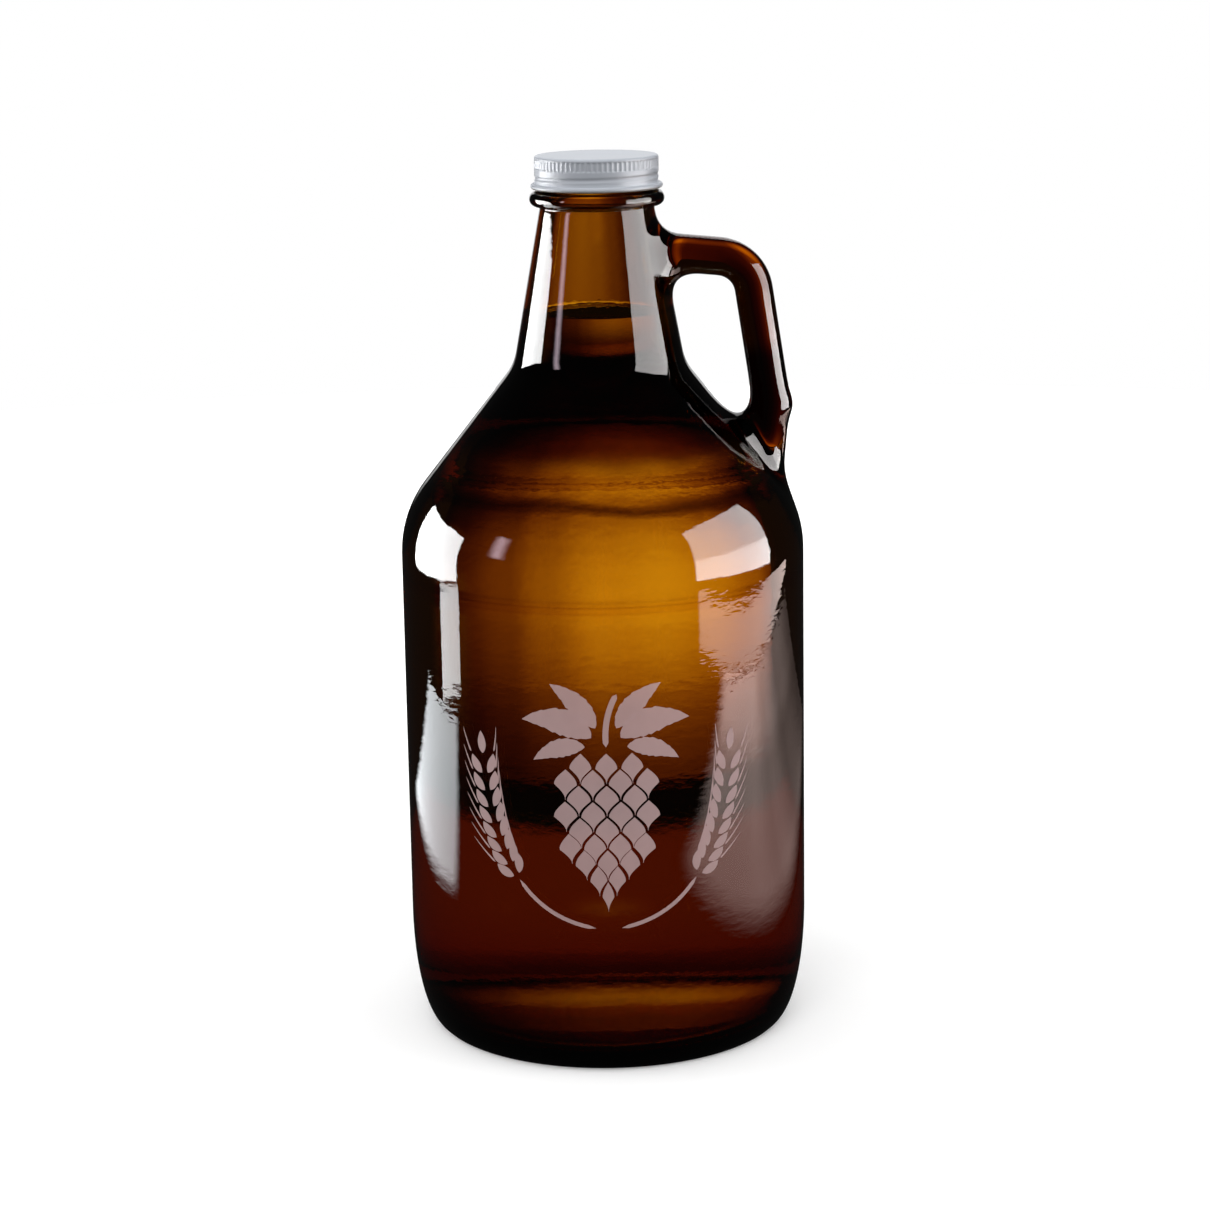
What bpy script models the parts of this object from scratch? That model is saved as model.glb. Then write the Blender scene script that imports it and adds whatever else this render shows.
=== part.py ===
"""Half-gallon glass growler with a finger-loop handle and a rolled metal screw cap.

Metres, +Z up. The origin is at the centre of the base, on the surface that the jug stands
on, and the handle is on the +X side. The jug is one moulding: body, neck, finish and handle
are one piece of glass. The cap's two-part liner lies loose between its shell and the rim.
"""

import math

import bmesh
import bpy
from mathutils import Vector

# ---- Driving dimensions: glass body ----
BODY_RADIUS = 0.0640
BODY_WALL = 0.0037
SHOULDER_CORNER_HEIGHT = 0.1675     # where the side and the shoulder slope would meet
SHOULDER_ANGLE = math.radians(38.3)  # slope of the shoulder, from the vertical
SHOULDER_ROUNDING = 0.0360
FLARE_ROUNDING = 0.0160             # hollow curve between shoulder and neck
NECK_BASE_RADIUS = 0.0269           # where the shoulder slope and the neck cone would meet
NECK_HEIGHT = 0.0495

# ---- Driving dimensions: heel and base ----
HEEL_HEIGHT = 0.0374
HEEL_INSET = 0.0091                 # bearing ring's outer edge, inside the body's radius
INNER_HEEL_INSET = 0.0160           # floor's outer edge, inside the inner wall
BEARING_RING_WIDTH = 0.0080
BASE_THICKNESS = 0.0060
PUNT_HEIGHT = 0.0040

# ---- Driving dimensions: finish (ring, thread and mouth) ----
FINISH_RADIUS = 0.0174              # plain wall between the threads
FINISH_HEIGHT = 0.0084              # mouth rim above the ring
RING_STANDOFF = 0.0037              # ring's outer edge outside the finish
RING_HEIGHT = 0.0048
NECK_STEP = 0.0004                  # neck's top outside the finish
BORE_RADIUS = 0.0143
RIM_ROUNDING = 0.0008
THREAD_DEPTH = 0.0010
THREAD_PITCH = 0.004233             # six threads to the inch
THREAD_TURNS = 1.10
THREAD_DROP = 0.0021                # middle of the thread's start, below the rim
THREAD_ROOT_WIDTH = 0.0022
THREAD_CREST_WIDTH = 0.0009

# ---- Driving dimensions: handle ----
HANDLE_THICKNESS = 0.0119
HANDLE_WIDTH = 0.0145
ARM_DROP = 0.0138                   # arm's centre line at the neck, below the ring
ROOT_DEPTH = 0.0100                 # arm's start inside the neck's face
ARM_FALL = 0.0036                   # arm's centre line falls this much to the corner
CORNER_INSET = 0.0167               # grip's top, inside the body's radius
KNEE_INSET = 0.0100                 # grip's foot, inside the body's radius
KNEE_RISE = 0.0220                  # knee above the shoulder's face under it
FOOT_INSET = 0.0128
FOOT_DEPTH = 0.0120                 # foot's end below the shoulder's face
CORNER_ROUNDING = 0.0120
KNEE_ROUNDING = 0.0300
ARM_FILLET_ABOVE = 0.0055
ARM_FILLET_BELOW = 0.0090
FOOT_FILLET_INSIDE = 0.0050         # rounds the gap's lower end, above the shoulder
ROOT_FILLET_SIDE = 0.0040
ROOT_OVERLAP = 0.0015               # how far a grown foot runs into the shoulder

# ---- Driving dimensions: cap and liner ----
CAP_CREST_CLEARANCE = 0.0006        # between the shell and the crests of the jug's thread
CAP_ROOT_CLEARANCE = 0.0004         # between the cap's thread and the finish
CAP_SHEET = 0.00035
CAP_EDGE_ROUNDING = 0.0009
CAP_SKIRT_DEPTH = 0.0078            # cap's lower edge below the rim
HEM_RADIUS = 0.0009                 # half the height of the rolled hem
HEM_STANDOFF = 0.00125              # hem's outer edge outside the skirt
KNURL_COUNT = 76
KNURL_DEPTH = 0.0002
KNURL_TOP_DROP = 0.0013             # knurl's upper end below the cap's top
KNURL_LENGTH = 0.0026
CAP_THREAD_ROOT_WIDTH = 0.0014
CAP_THREAD_CREST_WIDTH = 0.0006
CAP_THREAD_TURNS = 0.75
CAP_THREAD_LEAD = 0.1875            # cap's thread starts this many turns above the jug's
BOARD_THICKNESS = 0.0010
FILM_THICKNESS = 0.00025
LINER_SIDE_CLEARANCE = 0.0007

# ---- Driving dimensions: contents and clearances ----
HEADSPACE = 0.0466                  # liquid's surface below the rim
CLEARANCE = 0.0003                  # between faces that touch on the real object

# ---- Mesh resolution ----
JUG_SEGMENTS = 48
CAP_SEGMENTS = 2 * KNURL_COUNT
LINER_SEGMENTS = 48
ARC_STEP = math.radians(15)
CAP_ARC_STEP = math.radians(45)
HANDLE_SECTION_POINTS = 14
HANDLE_STATION_GAP = 0.0025
MERGE_DISTANCE = 0.00001

# ---- Radii that follow from them ----
RING_RADIUS = FINISH_RADIUS + RING_STANDOFF
NECK_TOP_RADIUS = FINISH_RADIUS + NECK_STEP
CAP_INNER_RADIUS = FINISH_RADIUS + THREAD_DEPTH + CAP_CREST_CLEARANCE
CAP_SKIRT_RADIUS = CAP_INNER_RADIUS + CAP_SHEET
CAP_THREAD_DEPTH = CAP_INNER_RADIUS - FINISH_RADIUS - CAP_ROOT_CLEARANCE
LINER_RADIUS = CAP_INNER_RADIUS - LINER_SIDE_CLEARANCE

# ---- Heights that follow from them ----
SHOULDER_RUN = (BODY_RADIUS - NECK_BASE_RADIUS) / math.tan(SHOULDER_ANGLE)
NECK_BASE_HEIGHT = SHOULDER_CORNER_HEIGHT + SHOULDER_RUN
RING_BOTTOM = NECK_BASE_HEIGHT + NECK_HEIGHT
RING_TOP = RING_BOTTOM + RING_HEIGHT
RIM = RING_TOP + FINISH_HEIGHT
FILM_BOTTOM = RIM + CLEARANCE
BOARD_BOTTOM = FILM_BOTTOM + FILM_THICKNESS + CLEARANCE
CAP_INNER_TOP = BOARD_BOTTOM + BOARD_THICKNESS + CLEARANCE
CAP_TOP = CAP_INNER_TOP + CAP_SHEET
CAP_BOTTOM = RIM - CAP_SKIRT_DEPTH
LIQUID_LEVEL = RIM - HEADSPACE


# ---- Outline helpers: every outline is a list of (radius, height) or (x, z) points ----

def arc(centre, radius, start, end, step=ARC_STEP):
    """Points along an arc in the plane, both ends included."""
    steps = max(2, round(abs(end - start) / step))
    angles = [start + (end - start) * i / steps for i in range(steps + 1)]
    return [(centre[0] + radius * math.cos(a), centre[1] + radius * math.sin(a)) for a in angles]


def rounded(corners, roundings):
    """The path through corners, with the inner corners turned into arcs."""
    path = [corners[0]]
    for before, here, after, radius in zip(corners, corners[1:], corners[2:], roundings):
        into = (Vector(before) - Vector(here)).normalized()
        out = (Vector(after) - Vector(here)).normalized()
        half = into.angle(out) / 2
        centre = Vector(here) + (into + out).normalized() * (radius / math.sin(half))
        first = Vector(here) + into * (radius / math.tan(half)) - centre
        last = Vector(here) + out * (radius / math.tan(half)) - centre
        start = math.atan2(first.y, first.x)
        turn = (math.atan2(last.y, last.x) - start + math.pi) % (2 * math.pi) - math.pi
        path += arc(centre, radius, start, start + turn)
    return path + [corners[-1]]


def inset_corners(corners, distance):
    """The corners of a path moved sideways by distance, towards the axis."""
    lines = []
    for start, end in zip(corners, corners[1:]):
        along = (Vector(end) - Vector(start)).normalized()
        aside = Vector((-along.y, along.x)) * distance
        lines.append((Vector(start) + aside, along))
    moved = [lines[0][0]]
    for (point, along), (other, next_along) in zip(lines, lines[1:]):
        gap = other - point
        reach = gap.cross(next_along) / along.cross(next_along)
        moved.append(point + along * reach)
    end = lines[-1][0] + lines[-1][1] * (Vector(corners[-1]) - Vector(corners[-2])).length
    return moved + [end]


def quarter_ellipse(centre, across, down):
    """Points from the bottom of a quarter ellipse up to its outer side, without the last."""
    steps = math.ceil(math.pi / 2 / ARC_STEP)
    angles = [math.pi / 2 * i / steps for i in range(steps)]
    return [(centre[0] + across * math.sin(a), centre[1] - down * math.cos(a)) for a in angles]


def dome(radius, edge_height, rise):
    """Points from the axis out to the edge of a shallow dome, without the edge itself."""
    radii = [radius * i / 3 for i in range(3)]
    return [(r, edge_height + rise * (1 - (r / radius) ** 2)) for r in radii]


def shoulder_face_height(radius):
    """Height of the straight part of the shoulder at a radius."""
    return SHOULDER_CORNER_HEIGHT + (BODY_RADIUS - radius) / math.tan(SHOULDER_ANGLE)


def neck_radius(height):
    """Outer radius of the neck's cone at a height."""
    share = (height - NECK_BASE_HEIGHT) / NECK_HEIGHT
    return NECK_BASE_RADIUS + (NECK_TOP_RADIUS - NECK_BASE_RADIUS) * share


# ---- Mesh helpers ----

def finish_object(name, bm, material, height=0.0):
    """Turn a bmesh into a linked, smooth shaded object."""
    bmesh.ops.recalc_face_normals(bm, faces=bm.faces)
    mesh = bpy.data.meshes.new(name)
    bm.to_mesh(mesh)
    bm.free()
    mesh.shade_smooth()
    mesh.set_sharp_from_angle(angle=math.radians(35))
    obj = bpy.data.objects.new(name, mesh)
    obj.location.z = height
    bpy.context.collection.objects.link(obj)
    if material:
        mesh.materials.append(material)
    return obj


def turned_bmesh(outline, segments):
    """Spin an outline that starts and ends on the axis into a closed solid."""
    bm = bmesh.new()
    points = [bm.verts.new((r, 0, z)) for r, z in outline]
    edges = [bm.edges.new(pair) for pair in zip(points, points[1:])]
    bmesh.ops.spin(bm, geom=points + edges, cent=(0, 0, 0), axis=(0, 0, 1),
                   angle=2 * math.pi, steps=segments, use_merge=True)
    bmesh.ops.remove_doubles(bm, verts=bm.verts, dist=MERGE_DISTANCE)
    return bm


def tube_bmesh(rings):
    """Bridge rings of points, all of one length, and cap both ends."""
    bm = bmesh.new()
    rows = [[bm.verts.new(point) for point in ring] for ring in rings]
    for row, following in zip(rows, rows[1:]):
        for i in range(len(row)):
            j = (i + 1) % len(row)
            bm.faces.new((row[i], row[j], following[j], following[i]))
    bm.faces.new(reversed(rows[0]))
    bm.faces.new(rows[-1])
    return bm


def thread_ridge(name, wall, depth, bury, datum, start_turn, turns, widths):
    """A right-hand thread ridge that runs down a wall and fades out at both ends.

    Its helix passes through height datum on the +X side, and the ridge starts start_turn
    turns above that. A negative depth makes it stand inwards, on a bore's wall.
    """
    steps = round(turns * JUG_SEGMENTS)
    fade = JUG_SEGMENTS / 10
    rings = []
    for i in range(steps + 1):
        turn = start_turn - i / JUG_SEGMENTS
        angle = 2 * math.pi * turn
        height = datum + THREAD_PITCH * turn
        share = min(1.0, i / fade, (steps - i) / fade)
        side = math.copysign(1, depth)
        foot = wall - side * bury
        crest = foot + side * bury / 2 + (depth + side * bury / 2) * share
        section = [(foot, -widths[0] / 2), (crest, -widths[1] / 2),
                   (crest, widths[1] / 2), (foot, widths[0] / 2)]
        rings.append([(r * math.cos(angle), r * math.sin(angle), height + dz)
                      for r, dz in section])
    return finish_object(name, tube_bmesh(rings), None)


def apply_boolean(obj, cutter, operation):
    """Join or cut with another object, which stays as a hidden guide."""
    modifier = obj.modifiers.new(cutter.name, "BOOLEAN")
    modifier.operation = operation
    modifier.solver = "EXACT"
    modifier.object = cutter
    cutter.hide_render = True
    cutter.display_type = "WIRE"


def principled(name, colour, roughness, metallic=0.0, transmission=0.0, ior=1.5):
    """A Principled material."""
    material = bpy.data.materials.new(name)
    material.use_nodes = True
    shader = material.node_tree.nodes["Principled BSDF"]
    shader.inputs["Base Color"].default_value = (*colour, 1.0)
    shader.inputs["Roughness"].default_value = roughness
    shader.inputs["Metallic"].default_value = metallic
    shader.inputs["Transmission Weight"].default_value = transmission
    shader.inputs["IOR"].default_value = ior
    return material


# ---- Jug ----

def wall_corners():
    """The straight lines of the jug's side, from the heel's top to the ring."""
    return [(BODY_RADIUS, HEEL_HEIGHT), (BODY_RADIUS, SHOULDER_CORNER_HEIGHT),
            (NECK_BASE_RADIUS, NECK_BASE_HEIGHT), (NECK_TOP_RADIUS, RING_BOTTOM)]


def jug_outline():
    """The outside of the jug, from the punt's centre to the centre of a closed mouth."""
    ring_outer = BODY_RADIUS - HEEL_INSET
    ring_inner = ring_outer - BEARING_RING_WIDTH
    half = RING_HEIGHT / 2
    outline = dome(ring_inner, 0.0, PUNT_HEIGHT)
    outline += [(ring_inner, 0.0)]
    outline += quarter_ellipse((ring_outer, HEEL_HEIGHT), HEEL_INSET, HEEL_HEIGHT)
    outline += rounded(wall_corners(), (SHOULDER_ROUNDING, FLARE_ROUNDING))
    outline += arc((RING_RADIUS - half, RING_BOTTOM + half), half, -math.pi / 2, math.pi / 2)
    outline += [(FINISH_RADIUS, RING_TOP)]
    outline += arc((FINISH_RADIUS - RIM_ROUNDING, RIM - RIM_ROUNDING),
                   RIM_ROUNDING, 0, math.pi / 2)
    return outline + [(0.0, RIM)]


def inside_outline(inset, top):
    """The jug's inside face moved inwards by inset, from the floor's centre to height top."""
    offset = BODY_WALL + inset
    side, slope, flare = inset_corners(wall_corners(), offset)[:3]
    bore = BORE_RADIUS - inset
    throat = Vector((bore, RING_BOTTOM))
    corners = [side, slope, flare, throat, Vector((bore, RIM + BODY_WALL))]
    roundings = (SHOULDER_ROUNDING - offset, FLARE_ROUNDING + offset, FLARE_ROUNDING)
    floor = BASE_THICKNESS + inset
    floor_radius = side.x - INNER_HEEL_INSET
    outline = dome(floor_radius, floor, PUNT_HEIGHT)
    outline += quarter_ellipse((floor_radius, HEEL_HEIGHT), INNER_HEEL_INSET,
                               HEEL_HEIGHT - floor)
    outline += rounded(corners, roundings)
    below = [point for point in outline if point[1] < top - MERGE_DISTANCE]
    above = outline[len(below)]
    last = below[-1]
    share = (top - last[1]) / (above[1] - last[1])
    return below + [(last[0] + (above[0] - last[0]) * share, top), (0.0, top)]


def handle_centre_line():
    """The handle's centre line in the XZ plane, from inside the neck to inside the shoulder.

    Both ends run past the wall, where the jug's hollow cuts them off.
    """
    arm_height = RING_BOTTOM - ARM_DROP
    root = neck_radius(arm_height) - ROOT_DEPTH
    corner = (BODY_RADIUS - CORNER_INSET, arm_height - ARM_FALL)
    knee_x = BODY_RADIUS - KNEE_INSET
    knee = (knee_x, shoulder_face_height(knee_x) + KNEE_RISE)
    foot_x = BODY_RADIUS - FOOT_INSET
    foot = (foot_x, shoulder_face_height(foot_x) - FOOT_DEPTH)
    path = rounded([(root, arm_height), corner, knee, foot], (CORNER_ROUNDING, KNEE_ROUNDING))
    stations = [Vector(path[0])]
    for start, end in zip(path, path[1:]):
        run = Vector(end) - Vector(start)
        pieces = max(1, math.ceil(run.length / HANDLE_STATION_GAP))
        stations += [Vector(start) + run * (i + 1) / pieces for i in range(pieces)]
    return stations


def fillet_growth(radius, distance):
    """How far a fillet stands out at a distance from the face that it runs into."""
    if distance >= radius:
        return 0.0
    reach = radius - max(distance, 0.0)
    return radius - math.sqrt(radius ** 2 - reach ** 2)


def gap_to_shoulder(point, outward):
    """The gap from the handle's inner face to the shoulder's, square to the handle."""
    facing = Vector((math.cos(SHOULDER_ANGLE), math.sin(SHOULDER_ANGLE)))
    height = (point - Vector((NECK_BASE_RADIUS, NECK_BASE_HEIGHT))).dot(facing)
    return height / outward.dot(facing) - HANDLE_THICKNESS / 2


def wedge_growth(gap):
    """How far the foot stands in under the grip, where this gap is left to the shoulder.

    A circle touches the grip's inner face and the shoulder. Below it the foot is solid.
    """
    touch = FOOT_FILLET_INSIDE / math.tan(SHOULDER_ANGLE / 2)
    drop = touch - gap / math.tan(SHOULDER_ANGLE)
    if drop <= 0:
        return 0.0
    if drop < FOOT_FILLET_INSIDE:
        return FOOT_FILLET_INSIDE - math.sqrt(FOOT_FILLET_INSIDE ** 2 - drop ** 2)
    return max(gap, 0.0) + ROOT_OVERLAP


def handle_rings():
    """Elliptical sections along the handle, which grow where it runs into the body."""
    line = handle_centre_line()
    lengths = [0.0]
    for start, end in zip(line, line[1:]):
        lengths.append(lengths[-1] + (end - start).length)
    foot_face = lengths[-1] - FOOT_DEPTH
    rings = []
    for i, point in enumerate(line):
        along = (line[min(i + 1, len(line) - 1)] - line[max(i - 1, 0)]).normalized()
        outward = Vector((-along.y, along.x))
        from_neck = lengths[i] - ROOT_DEPTH
        from_foot = foot_face - lengths[i]
        outside = HANDLE_THICKNESS / 2 + fillet_growth(ARM_FILLET_ABOVE, from_neck)
        inside = HANDLE_THICKNESS / 2 + fillet_growth(ARM_FILLET_BELOW, from_neck)
        if from_foot < foot_face / 2:
            inside += wedge_growth(gap_to_shoulder(point, outward))
        side = HANDLE_WIDTH / 2 + fillet_growth(ROOT_FILLET_SIDE, min(from_neck, from_foot))
        ring = []
        for k in range(HANDLE_SECTION_POINTS):
            angle = 2 * math.pi * k / HANDLE_SECTION_POINTS
            reach = math.cos(angle) * (outside if math.cos(angle) > 0 else inside)
            place = point + outward * reach
            ring.append((place.x, side * math.sin(angle), place.y))
        rings.append(ring)
    return rings


def build_jug(material):
    """The moulded jug: body, neck and handle joined, threaded and hollowed out."""
    jug = finish_object("glass_jug", turned_bmesh(jug_outline(), JUG_SEGMENTS), material)
    handle = finish_object("handle_guide", tube_bmesh(handle_rings()), None)
    thread = thread_ridge("jug_thread_guide", FINISH_RADIUS, THREAD_DEPTH, THREAD_DEPTH / 2,
                          RIM - THREAD_DROP, 0.0, THREAD_TURNS,
                          (THREAD_ROOT_WIDTH, THREAD_CREST_WIDTH))
    hollow = turned_bmesh(inside_outline(0.0, RIM + BODY_WALL / 2), JUG_SEGMENTS)
    cavity = finish_object("cavity_guide", hollow, None)
    apply_boolean(jug, handle, "UNION")
    apply_boolean(jug, thread, "UNION")
    apply_boolean(jug, cavity, "DIFFERENCE")
    return jug


def build_beer(material):
    """The contents, a hair clear of the glass all round, with a flat surface."""
    outline = inside_outline(CLEARANCE, LIQUID_LEVEL)
    return finish_object("beer", turned_bmesh(outline, JUG_SEGMENTS), material)


# ---- Cap ----

def cap_outline():
    """The shell's section from its top centre round the hem to its inner top centre.

    The knurl is pressed into the outer face only, so the sheet is thinner behind it.
    """
    top = CAP_TOP - CAP_BOTTOM
    inner_top = CAP_INNER_TOP - CAP_BOTTOM
    edge = CAP_EDGE_ROUNDING
    inner_edge = edge - CAP_SHEET
    knurl_top = top - KNURL_TOP_DROP
    ease = KNURL_DEPTH
    knurl = [knurl_top, knurl_top - ease, knurl_top - KNURL_LENGTH + ease,
             knurl_top - KNURL_LENGTH]
    hem_centre = (CAP_SKIRT_RADIUS + HEM_STANDOFF - HEM_RADIUS, HEM_RADIUS)
    outline = [(0.0, top)]
    outline += arc((CAP_SKIRT_RADIUS - edge, top - edge), edge, math.pi / 2, 0, CAP_ARC_STEP)
    outline += [(CAP_SKIRT_RADIUS, height) for height in knurl]
    outline += [(CAP_SKIRT_RADIUS, 2 * HEM_RADIUS)]
    outline += arc(hem_centre, HEM_RADIUS, math.pi / 2, -math.pi / 2, CAP_ARC_STEP)
    outline += [(CAP_INNER_RADIUS, 0.0)]
    outline += arc((CAP_INNER_RADIUS - inner_edge, inner_top - inner_edge),
                   inner_edge, 0, math.pi / 2, CAP_ARC_STEP)
    return outline + [(0.0, inner_top)]


def press_knurl(bm):
    """Press every second column of the knurl's band inwards."""
    top = CAP_TOP - CAP_BOTTOM - KNURL_TOP_DROP
    bottom = top - KNURL_LENGTH
    for vert in bm.verts:
        radius = math.hypot(vert.co.x, vert.co.y)
        column = round(math.atan2(vert.co.y, vert.co.x) / (2 * math.pi) * CAP_SEGMENTS)
        in_band = bottom + MERGE_DISTANCE < vert.co.z < top - MERGE_DISTANCE
        if in_band and column % 2:
            vert.co.xy *= (radius - KNURL_DEPTH) / radius


def build_cap(material):
    """The rolled metal shell with its knurl, its hem and the thread inside it."""
    bm = turned_bmesh(cap_outline(), CAP_SEGMENTS)
    press_knurl(bm)
    shell = finish_object("cap_shell", bm, material, CAP_BOTTOM)
    datum = RIM - THREAD_DROP - THREAD_PITCH / 2
    ridge = thread_ridge("cap_thread_guide", CAP_INNER_RADIUS, -CAP_THREAD_DEPTH,
                         CAP_SHEET / 2, datum, CAP_THREAD_LEAD, CAP_THREAD_TURNS,
                         (CAP_THREAD_ROOT_WIDTH, CAP_THREAD_CREST_WIDTH))
    apply_boolean(shell, ridge, "UNION")
    return shell


def build_disc(name, radius, thickness, height, material):
    """A flat liner disc."""
    outline = [(0.0, 0.0), (radius, 0.0), (radius, thickness), (0.0, thickness)]
    return finish_object(name, turned_bmesh(outline, LINER_SEGMENTS), material, height)


def build_growler():
    """Build every piece and hang the cap's pieces on their axis."""
    for obj in list(bpy.data.objects):
        bpy.data.objects.remove(obj, do_unlink=True)
    glass = principled("amber_glass", (0.16, 0.045, 0.006), 0.04, transmission=1.0, ior=1.52)
    enamel = principled("white_enamel", (0.72, 0.74, 0.77), 0.32)
    board = principled("pulp_board", (0.62, 0.53, 0.40), 0.90)
    film = principled("liner_film", (0.85, 0.84, 0.80), 0.35)
    liquid = principled("beer_liquid", (0.50, 0.21, 0.02), 0.02, transmission=1.0, ior=1.34)
    build_jug(glass)
    build_beer(liquid)
    cap_pieces = [
        build_cap(enamel),
        build_disc("cap_liner_board", LINER_RADIUS, BOARD_THICKNESS, BOARD_BOTTOM, board),
        build_disc("cap_liner_film", LINER_RADIUS, FILM_THICKNESS, FILM_BOTTOM, film),
    ]
    axis = bpy.data.objects.new("cap_axis", None)
    bpy.context.collection.objects.link(axis)
    for piece in cap_pieces:
        piece.parent = axis


build_growler()
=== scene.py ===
"""Half-gallon amber growler: jug, beer, etched hop motif, screw cap and liner in a small studio.

Metres, +Z up, handle on the +X side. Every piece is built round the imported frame.
"""

import logging
import math
from dataclasses import dataclass, field
from enum import Enum
from typing import Any, Sequence, Union

import bpy
import numpy as np
from mathutils import Matrix, Vector


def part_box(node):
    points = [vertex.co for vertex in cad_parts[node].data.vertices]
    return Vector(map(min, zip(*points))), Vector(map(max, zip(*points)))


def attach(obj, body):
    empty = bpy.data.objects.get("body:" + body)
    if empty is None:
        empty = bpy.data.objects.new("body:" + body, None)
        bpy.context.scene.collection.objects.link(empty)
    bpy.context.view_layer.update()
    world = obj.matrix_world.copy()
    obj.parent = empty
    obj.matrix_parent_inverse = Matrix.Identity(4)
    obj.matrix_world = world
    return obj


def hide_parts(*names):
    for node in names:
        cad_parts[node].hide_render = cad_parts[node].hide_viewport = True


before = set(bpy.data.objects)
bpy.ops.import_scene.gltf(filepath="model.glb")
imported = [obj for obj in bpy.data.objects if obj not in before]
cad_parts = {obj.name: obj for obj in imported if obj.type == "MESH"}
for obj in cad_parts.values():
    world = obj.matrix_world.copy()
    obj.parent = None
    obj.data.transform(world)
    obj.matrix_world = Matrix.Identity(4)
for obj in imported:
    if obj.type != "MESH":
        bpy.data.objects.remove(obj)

LOG = logging.getLogger("growler")
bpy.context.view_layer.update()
MM = 0.001
Point = tuple[float, float]
Colour = tuple[float, float, float]


# ---- Outlines: lists of (radius, height) or (x, z) points ----

def arc(centre: Point, radius: float, start: float, end: float, step: float = 4.0) -> list[Point]:
    """Points along an arc in the plane, both ends included.

    Args:
        centre: the arc's centre.
        radius: its radius in metres.
        start: first angle in degrees.
        end: last angle in degrees.
        step: the widest angle between two points, in degrees.

    Returns:
        The points in order.
    """
    count = max(2, math.ceil(abs(end - start) / step))
    angles = np.radians(np.linspace(start, end, count + 1))
    return [(centre[0] + radius * math.cos(a), centre[1] + radius * math.sin(a)) for a in angles]


def rounded(corners: Sequence[Point], roundings: Sequence[float]) -> list[Point]:
    """The path through corners, with the inner corners turned into arcs.

    Args:
        corners: the corners of the straight path.
        roundings: one radius for each inner corner.

    Returns:
        The rounded path.
    """
    points = [np.array(corner) for corner in corners]
    path = [corners[0]]
    for before, here, after, radius in zip(points, points[1:], points[2:], roundings):
        into = (before - here) / np.linalg.norm(before - here)
        out = (after - here) / np.linalg.norm(after - here)
        half = math.acos(float(into @ out)) / 2
        middle = (into + out) / np.linalg.norm(into + out)
        centre = here + middle * (radius / math.sin(half))
        first = here + into * (radius / math.tan(half)) - centre
        last = here + out * (radius / math.tan(half)) - centre
        start = math.degrees(math.atan2(first[1], first[0]))
        turn = (math.degrees(math.atan2(last[1], last[0])) - start + 180) % 360 - 180
        path += arc((centre[0], centre[1]), radius, start, start + turn)
    return path + [corners[-1]]


def moved_sideways(corners: Sequence[Point], distance: float) -> list[Point]:
    """The corners of a path moved sideways towards the axis.

    Args:
        corners: the corners of the path, from the bottom up.
        distance: how far the path moves, in metres.

    Returns:
        As many corners as it was given.
    """
    lines = []
    for start, end in zip(corners, corners[1:]):
        along = np.subtract(end, start) / math.dist(start, end)
        lines.append((np.array(start) + np.array((-along[1], along[0])) * distance, along))
    moved = [tuple(lines[0][0])]
    for (point, along), (other, following) in zip(lines, lines[1:]):
        gap = other - point
        reach = (gap[0] * following[1] - gap[1] * following[0]) / (
            along[0] * following[1] - along[1] * following[0])
        moved.append(tuple(point + along * reach))
    moved.append(tuple(lines[-1][0] + lines[-1][1] * math.dist(corners[-2], corners[-1])))
    return moved


def spaced(path: Sequence[Point], cells: int) -> list[Point]:
    """The path again, with evenly spaced points.

    Args:
        path: the path to walk along.
        cells: how many equal steps to take.

    Returns:
        One more point than there are cells.
    """
    points = np.array(path)
    lengths = np.concatenate(([0.0], np.cumsum(np.linalg.norm(np.diff(points, axis=0), axis=1))))
    places = np.linspace(0.0, lengths[-1], cells + 1)
    return list(zip(np.interp(places, lengths, points[:, 0]),
                    np.interp(places, lengths, points[:, 1])))


def split_at_heights(path: Sequence[Point], heights: Sequence[float]) -> list[list[Point]]:
    """Cut a path that only rises at these heights.

    Args:
        path: the rising path.
        heights: the cuts, from the bottom up.

    Returns:
        One more piece than there are cuts.
    """
    pieces, rest = [], list(path)
    for height in heights:
        below = [point for point in rest if point[1] < height - 1e-7]
        start, end = rest[len(below) - 1], rest[len(below)]
        share = (height - start[1]) / (end[1] - start[1])
        cut = (start[0] + (end[0] - start[0]) * share, height)
        pieces.append(below + [cut])
        rest = [cut] + rest[len(below):]
    return pieces + [rest]


def joined(pieces: Sequence[Sequence[Point]]) -> list[Point]:
    """One path from pieces whose ends meet.

    Args:
        pieces: the pieces in order.

    Returns:
        The whole path.
    """
    path = [pieces[0][0]]
    for piece in pieces:
        path += list(piece[1:])
    return path


def stretch_between(values: np.ndarray, low: float, high: float) -> np.ndarray:
    """A smooth step from 0 at low to 1 at high."""
    share = np.clip((values - low) / (high - low), 0.0, 1.0)
    return share * share * (3 - 2 * share)


# ---- Meshes ----

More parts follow.
